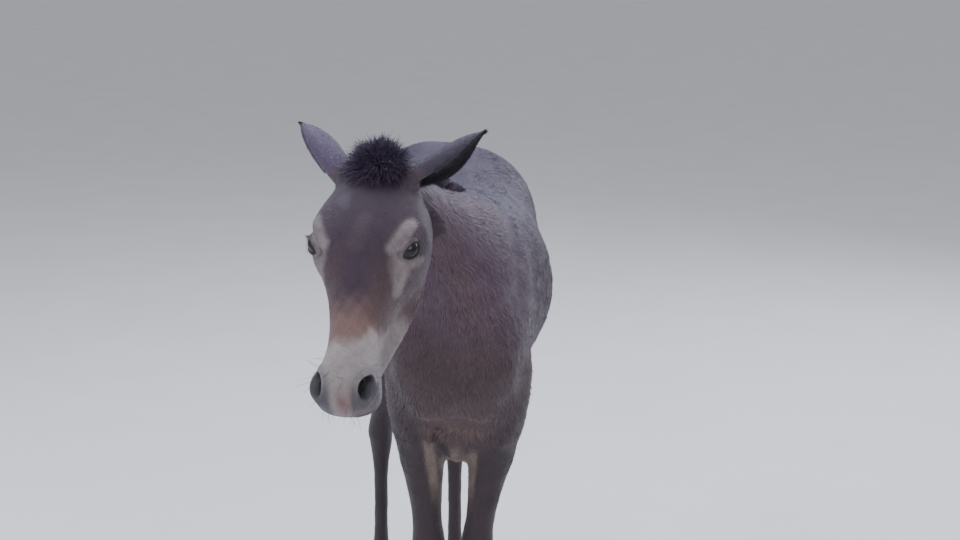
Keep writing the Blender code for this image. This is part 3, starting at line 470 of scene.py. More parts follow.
def mixIn(base, tint, share):    # base*(1-share) + tint*share
    share = np.clip(share, 0, 1)[:, None]
    return base * (1 - share) + tint * share


def lay(base, name, bright, share):      # a tint of the list, brightened, over the base
    return mixIn(base, tints[name] * bright, share)


# a soft band round the line from one place to another: 1 near the line, falling to 0 at the given width
def band(places, start, end, width):
    start, end = np.asarray(start, float), np.asarray(end, float)
    run = end - start
    share = np.clip((places - start) @ run / (run @ run), 0, 1)
    far = np.linalg.norm(places - start - share[:, None] * run, axis=1)
    return 1 - ramp(far / (width * (1 - 0.35 * share)), 0.45, 1.25)


def markingsShadeAndSheen(points):            # the coat's colour at each place, with painted shade and painted sheen
    x, y, z = points.T
    h = inHead(points)
    along, up, side = h.T
    wave = ripple(points, 0.16, 3) * 0.5 + ripple(points, 0.05, 4) * 0.3
    fine = ripple(points, 0.022, 5)
    tint = np.tile(tints["coat"], (len(points), 1))
    # below 0.95 m the coat turns browner; the top of the back is painted bluer and the top of the neck
    # lighter and bluer: painted sky sheen
    tint = lay(tint, "side", 1, ramp(0.95 - z, 0.0, 0.2) * 0.8)
    tint = lay(tint, "back", 1, ramp(z, 0.94, 1.06) * ramp(y, -0.44, -0.26))
    tint = mixIn(tint, tints["coat"] * (1.22, 1.25, 1.28),
                 ramp(z, 0.87, 0.98) * (1 - ramp(y, -0.34, -0.20)))
    shade = bump(y, -0.44, 0.10) * bump(z, 0.80, 0.055)
    tint = mixIn(tint, tints["side"] * (0.72, 0.70, 0.68), shade * 0.8)
    tint = lay(tint, "leg", 1, ramp(0.80 + 0.05 * wave - z, 0.0, 0.18))
    tint = lay(tint, "bib", 1,
               bump(y, -0.39, 0.11) * bump(z, 0.685, 0.045) * (1 - ramp(np.abs(x), 0.035, 0.085)) * 0.9)
    throat = band(points, (0.000, -0.500, 1.105), (0.030, -0.455, 0.930), 0.050)
    tint = lay(tint, "rust", 1, throat * (0.30 + 0.2 * wave))
    under = ramp(0.76 - z, 0.0, 0.07) * ramp(z, 0.58, 0.66) * (1 - ramp(np.abs(x), 0.045, 0.11))
    tint = lay(tint, "cream", 1, under * ramp(y, -0.26, -0.12) * (1 - ramp(y, 0.33, 0.42)) * 0.8)
    for name, rows in legLines.items():
        legSide = stance[name][0]
        centre = atHeight(rows, z, 1)
        wide = atHeight(rows, z, 3)
        nearLeg = (np.abs(x - centre) < 1.35 * wide) & ((y < 0.05) == ("fore" in name)) & (z < 0.80)
        inner = ramp((centre - x) * legSide / wide + 0.12 * wave, 0.70, 1.15)
        tall = ramp(z, 0.46, 0.58) * (1 - ramp(z, 0.60, 0.66))
        tint = lay(tint, "cream", 1, nearLeg * inner * tall * 0.85)
    front = points * (1, 0, 1)
    pale = band(front, (-0.054, 0, 0.650), (-0.041, 0, 0.500), 0.0125)
    pale = np.maximum(pale, band(front, (0.027, 0, 0.618), (0.019, 0, 0.500), 0.0115)) * ramp(z, 0.490,
            0.575)
    fold = np.linalg.norm((front - (-0.003, 0, 0.592)) / (0.038, 1, 0.026), axis=1)
    pale = np.maximum(pale, 1 - ramp(fold + 0.25 * wave, 0.55, 1.25)) * (y < -0.22)
    tint = lay(tint, "cream", 1, pale * 0.95)
    # painted shadow in the crease between the right forearm and the chest
    creaseShadow = band(front, (-0.036, 0, 0.668), (-0.020, 0, 0.622), 0.010) * (y < -0.27)
    tint = lay(tint, "leg", 0.45, creaseShadow * 0.8)
    # the sides of the barrel and hindquarters darker than the top: painted shade
    flank = ramp(np.abs(x), 0.09, 0.15) * ramp(y, -0.26, -0.08) * ramp(z, 0.70, 0.80)
    tint = mixIn(tint, tint * 0.70, flank)
    lane = np.abs(side)
    faceTint = np.tile(tints["face"], (len(points), 1))
    faceTint = mixIn(faceTint, faceTint * 0.80, bump(along, 0.070, 0.045))
    # the lower sides of the face darkened: painted shade
    cheek = ramp(-up, -0.045, 0.005) * ramp(lane, 0.030, 0.055) * ramp(along, 0.17, 0.21)
    faceTint = lay(faceTint, "coat", 0.70, ramp(lane, 0.035, 0.075))
    faceTint = lay(faceTint, "coat", 0.42, cheek * 0.85)
    faceTint = lay(faceTint, "rust", 1, bump(along, 0.232, 0.050) * ramp(lane, 0.008, 0.045) * 0.75)
    faceTint = lay(faceTint, "rust", 1, bump(along, 0.165, 0.080) * bump(up, -0.060, 0.045) * 0.6)
    faceTint = lay(faceTint, "whorl", 1,
                   band(h, (0.152, 0.083, -0.002), (0.112, 0.086, 0.008), 0.019) * 0.55)
    # a grey streak on the forehead: painted highlight
    faceTint = lay(faceTint, "grey", 1,
                   band(h, (0.074, 0.079, -0.036), (0.090, 0.083, -0.030), 0.014) * 0.4)
    m = h * (1, 1, 0) + lane[:, None] * (0, 0, 1)
    ring = band(m, (0.156, 0.072, 0.062), (0.104, 0.066, 0.083), 0.0175)
    ring = np.maximum(ring, band(m, (0.173, 0.050, 0.073), (0.206, 0.014, 0.066), 0.0240))
    ring = np.maximum(ring, band(m, (0.172, 0.036, 0.082), (0.150, 0.018, 0.095), 0.012) * 0.7)
    faceTint = lay(faceTint, "pale", 1, ring * (0.88 + 0.12 * fine))
    nose = ramp(along + 0.006 * fine, 0.215, 0.285) * (1 - ramp(lane, 0.030, 0.056))
    faceTint = lay(faceTint, "tan", 1, nose * (up > -0.03))
    edge = along + 0.046 * ramp(-up, 0.000, 0.050) + 0.034 * ramp(side, 0.006, 0.046) + 0.004 * fine
    faceTint = lay(faceTint, "muzzle", 1, ramp(edge, 0.294, 0.324))
    faceTint = lay(faceTint, "pale", 0.8, ramp(-up, -0.015, 0.030) * ramp(along, 0.20, 0.24) * 0.6)
    # grey along the sides of the muzzle: painted shade
    faceTint = lay(faceTint, "grey", 1,
                   band(m, (0.330, -0.010, 0.055), (0.385, -0.010, 0.055), 0.016) * 0.5)
    faceTint = lay(faceTint, "grey", 0.55, bump(along, 0.398, 0.022) * ramp(lane, 0.009, 0.024) * 0.9)
    # painted shade on the outer wing of each nostril
    wingShade = np.linalg.norm((m - (0.374, 0.002, 0.057)) / (0.021, 0.020, 0.013), axis=1)
    faceTint = lay(faceTint, "grey", 0.50, (1 - ramp(wingShade, 0.60, 1.20)) * 0.9)
    faceTint = lay(faceTint, "pink", 1,
                   bump(np.linalg.norm((h - (0.397, 0.008, 0.006)) / (0.021, 0.030, 0.0145), axis=1), 0,
                        0.85) * 0.95)
    faceTint = lay(faceTint, "pink", 1,
                   band(h, (0.400, -0.010, 0.030), (0.396, -0.016, 0.040), 0.010) * 0.6)
    tint = mixIn(tint, faceTint, ramp(along, -0.02, 0.02) * ramp(up, -0.150, -0.122) * (y < -0.45))
    crown = 1 - ramp(np.linalg.norm((h - (0.002, 0.070, 0.003)) / (0.042, 0.05, 0.046), axis=1), 0.45, 1.25)
    tint = lay(tint, "mane", 0.9, crown)
    crest = np.interp(y, crestLine[:, 1], crestLine[:, 2])
    crestX = np.interp(y, crestLine[:, 1], crestLine[:, 0])
    onCrest = (1 - ramp(crest - z, 0.000, 0.020)) * (1 - ramp(np.abs(x - crestX), 0.010, 0.022))
    tint = lay(tint, "mane", 0.9, onCrest * (y < -0.20) * (y > -0.60))
    stripe = (1 - ramp(np.abs(x + 0.050 * ramp(y, -0.05, 0.25)), 0.006, 0.020)) * ramp(z, 1.00,
            1.04) * ramp(y, -0.24, -0.18)
    tint = lay(tint, "mane", 1.2, stripe * 0.75)
    tint = lay(tint, "mane", 0.9, ramp(y, 0.462, 0.480) * (z > 0.55))
    return tint * (1 + 0.10 * wave + 0.05 * fine)[:, None]


# One skin

skinPlan = {"voxel": 0.0056, "smooth": 2, "bodySmooth": 8,
            "breast": ((0.60, 0.88, -0.21, 22), (0.62, 0.80, -0.25, 40), (0.65, 0.76, -0.28, 70)),
            "ribs": 0.0008}

forms = []
rows = smoothRows(trunkRows, 70)
centres = np.column_stack([np.zeros(70), rows[:, 0], rows[:, 4]])
forms.append(tube(centres, (1, 0, 0), (0, 0, 1), rows[:, 3], rows[:, 1] - rows[:, 4],
                  rows[:, 4] - rows[:, 2], 40,
                  2.1 + 0.5 * ramp(rows[:, 0], 0.08, 0.20)))

rows = smoothRows(neckRows, 40)
crestLine = rows[::-1, :3].copy()
crest, under = rows[:, :3], rows[:, 3:6]
deep = np.linalg.norm(crest - under, axis=1) / 2
across = neckAcross(crest - under)
forms.append(tube((crest + under) / 2, across, unit(crest - under), rows[:, 6], deep, deep, 36, 2.0))

rows = smoothRows(skullRows, 60)
centres = np.array([onHead(row[0], row[4], 0) for row in rows])
forms.append(tube(centres, leftWay, browWay, rows[:, 3], rows[:, 1] - rows[:, 4], rows[:, 2] + rows[:, 4],
                  36, 2.35))

for side in (-1, 1):
    forms.append(ball(onHead(0.127, 0.052, 0.066 * side), (0.033, 0.026, 0.028), headAxes))
    forms.append(ball(onHead(0.100, -0.034, 0.054 * side), (0.080, 0.064, 0.034), headAxes))
    forms.append(ball(onHead(0.368, 0.002, 0.037 * side), (0.026, 0.025, 0.018), headAxes))
    forms.append(ball(onHead(0.018, 0.036, 0.053 * side), (0.036, 0.028, 0.020), headAxes))
    forms.append(cord([onHead(0.152, 0.000, 0.077 * side), onHead(0.207, -0.006, 0.053 * side),
                       onHead(0.262, -0.010, 0.037 * side)],
                      (0.016, 0.013, 0.008)))
    jawPlaces = ((0.069, -0.078, 0.047), (0.166, -0.076, 0.047), (0.262, -0.058, 0.037),
                 (0.338, -0.042, 0.026))
    forms.append(cord([onHead(a, b, c * side) for a, b, c in jawPlaces], (0.031, 0.028, 0.022, 0.014)))
    forms.append(ball(eyeCentre(side), [eyePlan["radius"] + 0.004] * 3))
    forms.append(ball((0.085 * side, -0.270, 0.880), (0.052, 0.105, 0.190),
                      ((1, 0, 0.12 * side), (0, 1, -0.35), (0, 0.35, 1))))
    forms.append(ball((0.072 * side, -0.370, 0.805), (0.048, 0.056, 0.078)))
    forms.append(ball((0.042 * side, -0.388, 0.778), (0.052, 0.050, 0.082)))
    forms.append(ball((0.080 * side, -0.296, 0.728), (0.050, 0.084, 0.112)))
    forms.append(ball((0.088 * side, 0.292, 0.930), (0.072, 0.135, 0.150)))
    forms.append(ball((0.090 * side, 0.180, 1.000), (0.050, 0.070, 0.052)))
forms.append(ball(onHead(0.388, -0.014, 0), (0.022, 0.027, 0.038), headAxes))
forms.append(ball(onHead(0.368, -0.047, 0), (0.031, 0.019, 0.028), headAxes))

forms.append(ball((-0.003, -0.285, 0.674), (0.044, 0.066, 0.084)))

legLines = {}
for name, (side, legRows, (leanFrom, leanTo), moved) in stance.items():
    rows = np.array(legRows, float)
    rows[:, 1] = side * rows[:, 1] + moved * np.clip((leanFrom - rows[:, 0]) / (leanFrom - leanTo), 0.0,
            1.0)
    rows = smoothRows(rows, 110)
    legLines[name] = rows
    forms.append(tube(rows[:, [1, 2, 0]], (1, 0, 0), (0, 1, 0), rows[:, 3], rows[:, 4], rows[:, 4], 28,
                      2.1))
    if "hind" in name:
        x = rowAt(rows, 0.505)[1]
        forms.append(ball((x, 0.390, 0.502), (0.017, 0.018, 0.026)))
        x = rowAt(rows, 0.560)[1]
        forms.append(cord([(x, 0.335, 0.640), (x, 0.362, 0.572), (x, 0.389, 0.508)], (0.011, 0.010, 0.013)))
    else:
        x = rowAt(rows, 0.690)[1]
        forms.append(ball((x + 0.004 * side, -0.215, 0.705), (0.026, 0.028, 0.040)))

rows = smoothRows(tailRows, 40)
rise = unit(np.cross((1, 0, 0), np.gradient(rows[:, :3], axis=0)))
thick = rows[:, 3] * (1 - 0.42 * np.clip((rows[:, 1] - 0.450) / 0.045, 0, 1))
forms.append(tube(rows[:, :3], (1, 0, 0), rise, thick * 1.15, thick, thick, 22, 2.0))

rows = smoothRows(neckRows, 40)[6:39]   # a low ridge under the mane
rise = unit(rows[:, :3] - rows[:, 3:6])
across = neckAcross(rise)
place = np.arange(33)
tall = 0.022 * np.minimum(1.0, 0.35 + place / 8) * (1 - 0.6 * np.maximum(0, (place - 14) / 18))
forms.append(tube(rows[:, :3] - rise * 0.010, across, rise, np.full(33, 0.012), tall + 0.008,
                  np.full(33, 0.02), 16, 2.0))
forms.append(ball(onHead(0.000, 0.058, 0), (0.024, 0.026, 0.034), headAxes))

points, quads, tris = addUp(forms)
skin = makeObject("foalSkin", sway(points), quads, tris)
change = skin.modifiers.new("skin", "REMESH")
change.mode, change.voxel_size = "VOXEL", skinPlan["voxel"]
change = skin.modifiers.new("even", "SMOOTH")
change.factor, change.iterations = 0.5, skinPlan["smooth"]
settle(skin)


def smoothWhere(target, chosen, times):   # points drawn toward their neighbours, only where chosen
    group = target.vertex_groups.new(name="chosen")
    group.add([int(i) for i in np.nonzero(chosen)[0]], 1.0, "REPLACE")
    change = target.modifiers.new("soften", "SMOOTH")
    change.factor, change.iterations, change.vertex_group = 0.5, times, "chosen"
    settle(target)
    target.vertex_groups.clear()


def headPart(points):
    return (inHead(points)[:, 0] > -0.03) & (points[:, 1] < -0.50) & (points[:, 2] > 0.80)


smoothWhere(skin, ~headPart(pointsOf(skin.data)), skinPlan["bodySmooth"])
for low, high, front, times in skinPlan["breast"]:      # the breast runs softly into the forearms
    places = pointsOf(skin.data)
    isBreast = (places[:, 1] < front) & (places[:, 2] > low) & (places[:, 2] < high) & ~headPart(places)
    smoothWhere(skin, isBreast, times)


def finer(target, chosen):       # each chosen quad cut in four
    def cut(work):
        edges = [edge for edge in work.edges if chosen[edge.verts[0].index] and chosen[edge.verts[1].index]]
        bmesh.ops.subdivide_edges(work, edges=edges, cuts=1, use_grid_fill=True)

    reshape(target, cut)


def eyeFrame(side):              # centre, toward the nose along the lids, upward, outward
    centre = eyeCentre(side)
    look = unit(0.93 * side * leftWay + 0.42 * browWay + 0.50 * noseWay)
    slant = unit(0.77 * noseWay + 0.33 * browWay - 0.55 * side * leftWay)
    slant = unit(slant - np.dot(slant, look) * look)
    lift = np.cross(look, slant)
    return centre, slant, lift if np.dot(lift, browWay) > 0 else -lift, look


def fineZones(points):           # lips, nostrils and lids
    h = inHead(points)
    zone = (h[:, 0] > 0.318) & headPart(points)
    for side in (-1, 1):
        zone |= np.linalg.norm(points - eyeCentre(side), axis=1) < 0.034
    return zone


finer(skin, headPart(pointsOf(skin.data)))
smoothWhere(skin, headPart(pointsOf(skin.data)), 3)
finer(skin, fineZones(pointsOf(skin.data)))
smoothWhere(skin, fineZones(pointsOf(skin.data)), 3)
report("skin drawn, %d faces" % len(skin.data.polygons))

coatDepth = {"body": 0.0060, "face": 0.0030, "muzzle": 0.0008, "leg": 0.0034}
points, normals = pointsOf(skin.data), normalsOf(skin.data)
h = inHead(points)
isHead = ramp(h[:, 0], -0.03, 0.03) * (points[:, 1] < -0.48) * (points[:, 2] > 0.78)
depth = coatDepth["body"] + (coatDepth["leg"] - coatDepth["body"]) * ramp(0.66 - points[:, 2], 0.0, 0.14)
faceDepth = coatDepth["face"] + (coatDepth["muzzle"] - coatDepth["face"]) * ramp(h[:, 0], 0.30, 0.35)
depth = depth * (1 - isHead) + faceDepth * isHead
points = points - normals * depth[:, None]

# nostrils: the skin sinks inside an oval and swells into a rim round it
nostril = {"along": 0.372, "up": 0.018, "side": 0.043, "long": 0.0222, "wide": 0.0132, "deep": 0.019,
           "rim": 0.0026}


def nostrilPlace(points, side):  # distance from the middle as a share of the opening, and the way across it
    facing = unit(0.60 * browWay + 0.66 * side * leftWay + 0.35 * noseWay)
    longWay = noseWay - 0.15 * side * leftWay
    longWay = unit(longWay - np.dot(longWay, facing) * facing)
    outWay = np.cross(facing, longWay)
    outWay = outWay * np.sign(outWay @ leftWay) * side
    d = points - onHead(nostril["along"], nostril["up"], nostril["side"] * side)
    a, b, c = d @ longWay, d @ outWay, d @ facing
    b = b - 11.0 * a * a + 0.002
    r = np.sqrt((a / nostril["long"]) ** 2 + (b / nostril["wide"]) ** 2) + 40 * np.clip(np.abs(c) - 0.020,
            0, None)
    return r, b / nostril["wide"], facing


for side in (-1, 1):
    r, across, facing = nostrilPlace(points, side)
    near = headPart(points) & (h[:, 0] > 0.33) & (h[:, 2] * side > 0.004)
    slope = 0.35 + 0.65 * (1 - ramp(across, -0.5, 0.7))
    points = points - (near * nostril["deep"] * (1 - ramp(r, 0.45, 1.04)) * slope)[:, None] * facing
    points = points + (near * nostril["rim"] * bump(r, 1.28, 0.26)
                       * (0.6 + 0.6 * ramp(across, -0.3, 0.8)))[:, None] * normals

# the line of the mouth: a groove between two soft lips, from corner to corner
mouth = {"corner": 0.318, "deep": 0.0034, "half": 0.0016, "lip": 0.0013}
line = mouthLine(h)
off = h[:, 1] - line
reach = ramp(h[:, 0], mouth["corner"], mouth["corner"] + 0.012) * isHead
points = points - normals * (mouth["deep"] * reach * bump(off, 0, mouth["half"]))[:, None]
points = points + normals * (mouth["lip"] * reach
        * (bump(off, 0.0058, 0.0038) + bump(off, -0.0056, 0.0036)))[:, None]

# folds beside the nose, veins and muscle edges of the face
lane = np.abs(h[:, 2])
folds = 0.0008 * bump(h[:, 0], 0.352, 0.014) * np.sin(h[:, 1] * 620) * isHead * (h[:, 1] > -0.01)
vein = 0.0013 * bump(h[:, 1] - (-0.018 + 0.20 * (h[:, 0] - 0.24)), 0, 0.0032) * ramp(h[:, 0], 0.19,
        0.22) * (1 - ramp(h[:, 0], 0.29, 0.32)) * isHead
jawEdge = -0.0016 * bump(h[:, 0] - 0.176 - 0.25 * (h[:, 1] + 0.05), 0, 0.008) * ramp(-h[:, 1], 0.0,
        0.03) * isHead
points = points + normals * (folds + vein + jawEdge)[:, None]

# ribs, elbow fold and the hollow before the thigh
x, y, z = points.T
ribs = skinPlan["ribs"] * np.sin((y + 0.35 * (0.95 - z)) * 190) * bump(y, 0.02, 0.12) * bump(z, 0.90,
        0.09) * ramp(np.abs(x), 0.08, 0.13)
flank = -0.0055 * bump(y - 0.55 * (z - 0.86), 0.170, 0.022) * bump(z, 0.86, 0.07) * ramp(np.abs(x), 0.08,
        0.12)
elbow = -0.0050 * bump(y + 0.3 * (z - 0.74), -0.185, 0.016) * bump(z, 0.745, 0.05) * ramp(np.abs(x), 0.06,
        0.09)
blade = 0.0030 * bump(y + 0.42 * (z - 0.90), -0.235, 0.020) * bump(z, 0.94, 0.09) * ramp(np.abs(x), 0.05,
        0.09)
tendon = -0.0022 * bump(np.abs(z - 0.27), 0.0,
        0.08) * ((np.abs(y + 0.259) < 0.006) | (np.abs(y - 0.366) < 0.006))
points = points + normals * (ribs + flank + elbow + blade + tendon)[:, None]
points = points + normals * (0.0005 * ripple(points, 0.035, 8) * (1 - isHead))[:, None]


# the openings for the eyes
# almond: wide*cos along the lids, upper or lower height times a softened sine
def lidOutline(turn):
    s = np.sin(turn)
    high = np.where(s > 0, eyePlan["upper"], eyePlan["lower"]) * np.sign(s) * np.abs(s) ** 1.12
    return eyePlan["wide"] * np.cos(turn), high - 0.0016 * np.cos(turn)


opened = np.zeros(len(points), bool)
for side in (-1, 1):
    centre, slant, lift, look = eyeFrame(side)
    d = points - centre
    far = np.linalg.norm(d, axis=1)
    angle = np.arccos(np.clip((d @ look) / np.maximum(far, 1e-9), -1, 1)) * eyePlan["radius"]
    turn = np.arctan2(d @ lift, d @ slant)
    ox, oy = lidOutline(np.arctan2(np.sin(turn) * eyePlan["wide"],
            np.cos(turn) * (eyePlan["upper"] + eyePlan["lower"]) / 2))
    beyond = angle - np.hypot(ox, oy)
    near = far < 0.045
    opened |= near & (beyond < 0.0024) & (angle < 0.030)
    natural = np.maximum(far, eyePlan["radius"] + 0.0014)
    close = near * (1 - ramp(beyond, 0.0085, 0.0155))
    wanted = natural * (1 - close) + (eyePlan["radius"] + 0.0012) * close
    points = np.where(near[:, None], centre + unit(d) * wanted[:, None], points)
setPoints(skin.data, points)


def openEyes(work):
    bmesh.ops.delete(work, geom=[vert for vert in work.verts if opened[vert.index]], context="VERTS")


reshape(skin, openEyes)
skin.data.update()
skin.data.polygons.foreach_set("use_smooth", np.full(len(skin.data.polygons), True))
points, normals = pointsOf(skin.data), normalsOf(skin.data)


def headShade(points, tint):     # dark inside the nostrils and along the mouth
    h = inHead(points)
    on = (h[:, 0] > 0.30) & headPart(points)
    line = mouthLine(h)
    tint = lay(tint, "dark", 1,
               on * ramp(h[:, 0], mouth["corner"], 0.330) * bump(h[:, 1] - line, 0, 0.0022) * 0.9)
    for side in (-1, 1):
        r, across, _ = nostrilPlace(points, side)
        on = (h[:, 0] > 0.33) & headPart(points) & (h[:, 2] * side > 0.004)
        tint = lay(tint, "grey", 1, on * bump(r, 1.45, 0.45) * 0.45)
        tint = lay(tint, "grey", 0.55, on * (1 - ramp(r, 0.85, 1.10)))
        tint = lay(tint, "dark", 1, on * (1 - ramp(r, 0.70, 1.02)) * (1 - ramp(across, -0.1, 0.75)))
    return tint


paint(skin.data, headShade(points, markingsShadeAndSheen(points)) * 0.80)
skin.data.materials.clear()
skin.data.materials.append(coatSkin)
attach(skin, "root")
fleshNodes = [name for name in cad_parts
              if not name.startswith(("ear", "eye")) and not name.endswith("hoof")]
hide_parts(*fleshNodes)
report("skin finished, %d faces" % len(skin.data.polygons))

# Eyes and lids

eyeTints = {"pupil": (0.003, 0.004, 0.009), "iris": (0.013, 0.008, 0.008),
            "limbus": (0.005, 0.0045, 0.006), "white": (0.07, 0.05, 0.045)}
eyeTints = {name: np.array(value) for name, value in eyeTints.items()}
wetEye, tree, shader = newMaterial("wetEye", 0.06, Specular_IOR_Level=0.36)
tint = addNode(tree, "ShaderNodeAttribute", attribute_name="coatTint")
place = addNode(tree, "ShaderNodeTexCoord")
grain = addNode(tree, "ShaderNodeTexNoise", Scale=900.0, Detail=3.0)
wire(tree, place, "Object", grain, "Vector")
spread = addNode(tree, "ShaderNodeMapRange")
spread.inputs["To Min"].default_value, spread.inputs["To Max"].default_value = 0.6, 1.4
wire(tree, grain, "Fac", spread, "Value")
shade = addNode(tree, "ShaderNodeVectorMath", operation="SCALE")
wire(tree, tint, "Color", shade, 0)
wire(tree, spread, "Result", shade, "Scale")
wire(tree, shade, "Vector", shader, "Base Color")


def faceOutward(work, look):     # all faces turned round where the foremost one looks inward
    foremost = max(work.faces, key=lambda face: face.calc_center_median().dot(look))
    if foremost.normal.dot(look) < 0:
        bmesh.ops.reverse_faces(work, faces=work.faces)


for side, name in ((1, "left"), (-1, "right")):
    centre, slant, lift, look = eyeFrame(side)
    tilt = np.linspace(0, math.pi, 66)[1:-1]
    turn = np.linspace(0, 2 * math.pi, 72, endpoint=False)
    bulge = 1 + 0.045 * np.clip(1 - (tilt / 0.62) ** 2, 0, None)    # the clear dome in front
    ring = (np.sin(tilt)[:, None, None]
            * (np.cos(turn)[None, :, None] * slant + np.sin(turn)[None, :, None] * lift)
            + np.cos(tilt)[:, None, None] * look) * (bulge * eyePlan["radius"])[:, None, None]
    points = np.concatenate([(centre + ring).reshape(-1, 3), [centre + look * eyePlan["radius"] * 1.045],
            [centre - look * eyePlan["radius"]]])
    eye = makeObject("eyeball_" + name, points, gridFaces(64, 72, True)[:, ::-1],
                     fans(64, 72)[:, (0, 2, 1)])
    d = unit(points - centre)
    along, high, out = d @ slant, d @ lift, d @ look
    wide = np.hypot(along, high)
    streak = 1 + 0.35 * np.sin(np.arctan2(high, along) * 34 + 3 * np.sin(np.arctan2(high, along) * 5))
    tint = np.tile(eyeTints["white"], (len(points), 1))
    tint = mixIn(tint, eyeTints["limbus"], (1 - ramp(wide, 0.66, 0.80)) * (out > 0))
    tint = mixIn(tint, eyeTints["iris"], (1 - ramp(wide, 0.54, 0.62)) * (out > 0))
    tint = tint * (1 + (streak - 1) * ((wide < 0.60) & (out > 0)))[:, None]
    oval = np.hypot(along / 0.40, high / 0.26)
    tint = mixIn(tint, eyeTints["pupil"], (1 - ramp(oval, 0.85, 1.05)) * (out > 0))
    paint(eye.data, tint)
    eye.data.materials.append(wetEye)
    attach(eye, "root")
    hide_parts("eye_" + name)

    # lid ring: the almond outline carried outward over the ball, rolling over a thick rim
    turn = np.linspace(0, 2 * math.pi, 120, endpoint=False)
    ox, oy = lidOutline(turn)
    width, ax, ay = np.hypot(ox, oy), ox / np.hypot(ox, oy), oy / np.hypot(ox, oy)
    profile = np.array([(0.86, -0.0010), (0.94, 0.0002), (0.975, 0.0012), (1.00, 0.0022), (1.05, 0.0029),
                        (1.13, 0.0029), (1.22, 0.0024),
                        (1.30, 0.0022), (1.38, 0.0027), (1.48, 0.0028), (1.60, 0.0020), (1.75, 0.0016),
                        (1.92, 0.0002), (2.05, -0.0015)])
    grow, proud = profile[:, :1], profile[:, 1:]
    upperLid = np.clip(ay, 0, 1) ** 0.7
    proud = proud + 0.0010 * upperLid * bump(grow, 1.12, 0.12) - 0.0008 * bump(grow, 1.32, 0.05) * upperLid
    angle = width * (1 + (grow - 1) * (0.0165 / np.maximum(width, 0.010))) / eyePlan["radius"]
    radius = eyePlan["radius"] + proud
    ring = (np.cos(angle)[..., None] * look + np.sin(angle)[..., None]
            * (ax[:, None] * slant + ay[:, None] * lift)) * radius[..., None]
    points = (centre + ring).reshape(-1, 3)
    quads = gridFaces(len(profile), 120, True)
    lids = makeObject("lids_" + name, points, quads)
    reshape(lids, lambda work: faceOutward(work, tuple(look)))
    rim = 1 - ramp(np.repeat(profile[:, 0], 120), 1.04, 1.14)
    tint = mixIn(markingsShadeAndSheen(points) * 0.8, tints["dark"], rim * 0.95)
    paint(lids.data, tint)
    lids.data.materials.append(coatSkin)
    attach(lids, "root")
report("eyes and lids")

# Ears

# length, half width, wall, depth against width, root, then for each ear its line, tilt, arch and painted
# light: the left ear's colour darkened as painted shade, the right ear's brightened as a painted highlight
earPlan = {
    "long": 0.178, "wide": 0.0288, "wall": 0.0030, "depth": 0.78, "root": (0.012, 0.032, 0.062),
    "left": ((0.57, 0.70, 0.40), -1.30, -0.010, 0.72), "right": ((0.69, 0.60, 0.51), -0.35, 0.006, 1.55),
}
earGrids = {}
for side, name in ((1, "left"), (-1, "right")):
    root = onHead(earPlan["root"][0], earPlan["root"][1], earPlan["root"][2] * side)
    (out, back, high), tilt, arch, paintedLight = earPlan[name]
    line = unit(out * side * leftWay - back * forward + high * upward)
    backWay = upward + tilt * forward
    backWay = unit(backWay - np.dot(backWay, line) * line)
    aside = np.cross(line, backWay)
    share = np.linspace(0, 1, 60)[:, None]
    width = earPlan["wide"] * (0.62 + 1.30 * share - 1.05 * share**2) * (1 - share**4) - 0.0001
    wrap = np.radians(164 - 74 * share)
    turns = np.linspace(-1, 1, 41)[None, :] * wrap
    bend = backWay * arch * (np.sin(math.pi * share) - 0.5)
    centre = root + line * (earPlan["long"] * share * 0.985 - 0.020) + bend
    arc = earPlan["depth"] * np.cos(turns)[..., None] * backWay + np.sin(turns)[..., None] * aside
    wall = earPlan["wall"] * (1 - 0.62 * share) * (1 - 0.45 * np.abs(turns / wrap) ** 4)
    outer = centre[:, None] + arc * width[..., None]
    inner = centre[:, None] + arc * np.maximum(width - wall, 0.10 * width)[..., None]
    strip = np.concatenate([outer, inner[:, ::-1]], axis=1)      # outer face, rim, inner face, rim
    points = strip.reshape(-1, 3)
    quads = gridFaces(60, 82, True)
    ends = np.concatenate([np.stack([np.arange(40), np.arange(40) + 1, 80 - np.arange(40),
            81 - np.arange(40)], -1),
                           np.stack([np.arange(40) + 1, np.arange(40), 81 - np.arange(40),
                                     80 - np.arange(40)], -1) + 59 * 82])
    ear = makeObject("ear_%s_skin" % name, points, np.concatenate([quads, ends]))
    reshape(ear, lambda work: bmesh.ops.recalc_face_normals(work, faces=work.faces))
    run = np.repeat(share[:, 0], 82)
    isInner = np.tile(np.arange(82) > 40, 60)
    # the inner face near black: the ear's dark skin deepened with painted shade of the hollow; the outer
    # face scaled by the ear's painted light
    tint = np.where(isInner[:, None], tints["earInside"], tints["earBack"] * paintedLight)
    edge = np.tile(np.minimum(np.arange(82),
            np.minimum(np.abs(np.arange(82) - 40.5), np.abs(np.arange(82) - 81))) < 2, 60)
    tint = lay(tint, "mane", 0.7, edge * 0.30 * ramp(run, 0.45, 0.9))
    tint = lay(tint, "mane", 0.8, ramp(run, 0.86, 0.97))
    tint = lay(tint, "coat", 1, (1 - ramp(run, 0.05, 0.22)) * ~isInner)
    paint(ear.data, tint * (1 + 0.12 * ripple(points, 0.03, 12))[:, None])
    ear.data.materials.append(coatSkin)
    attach(ear, "root")
    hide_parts("ear_" + name)
    earGrids[name] = (outer, inner, line)
report("ears")

# Hooves

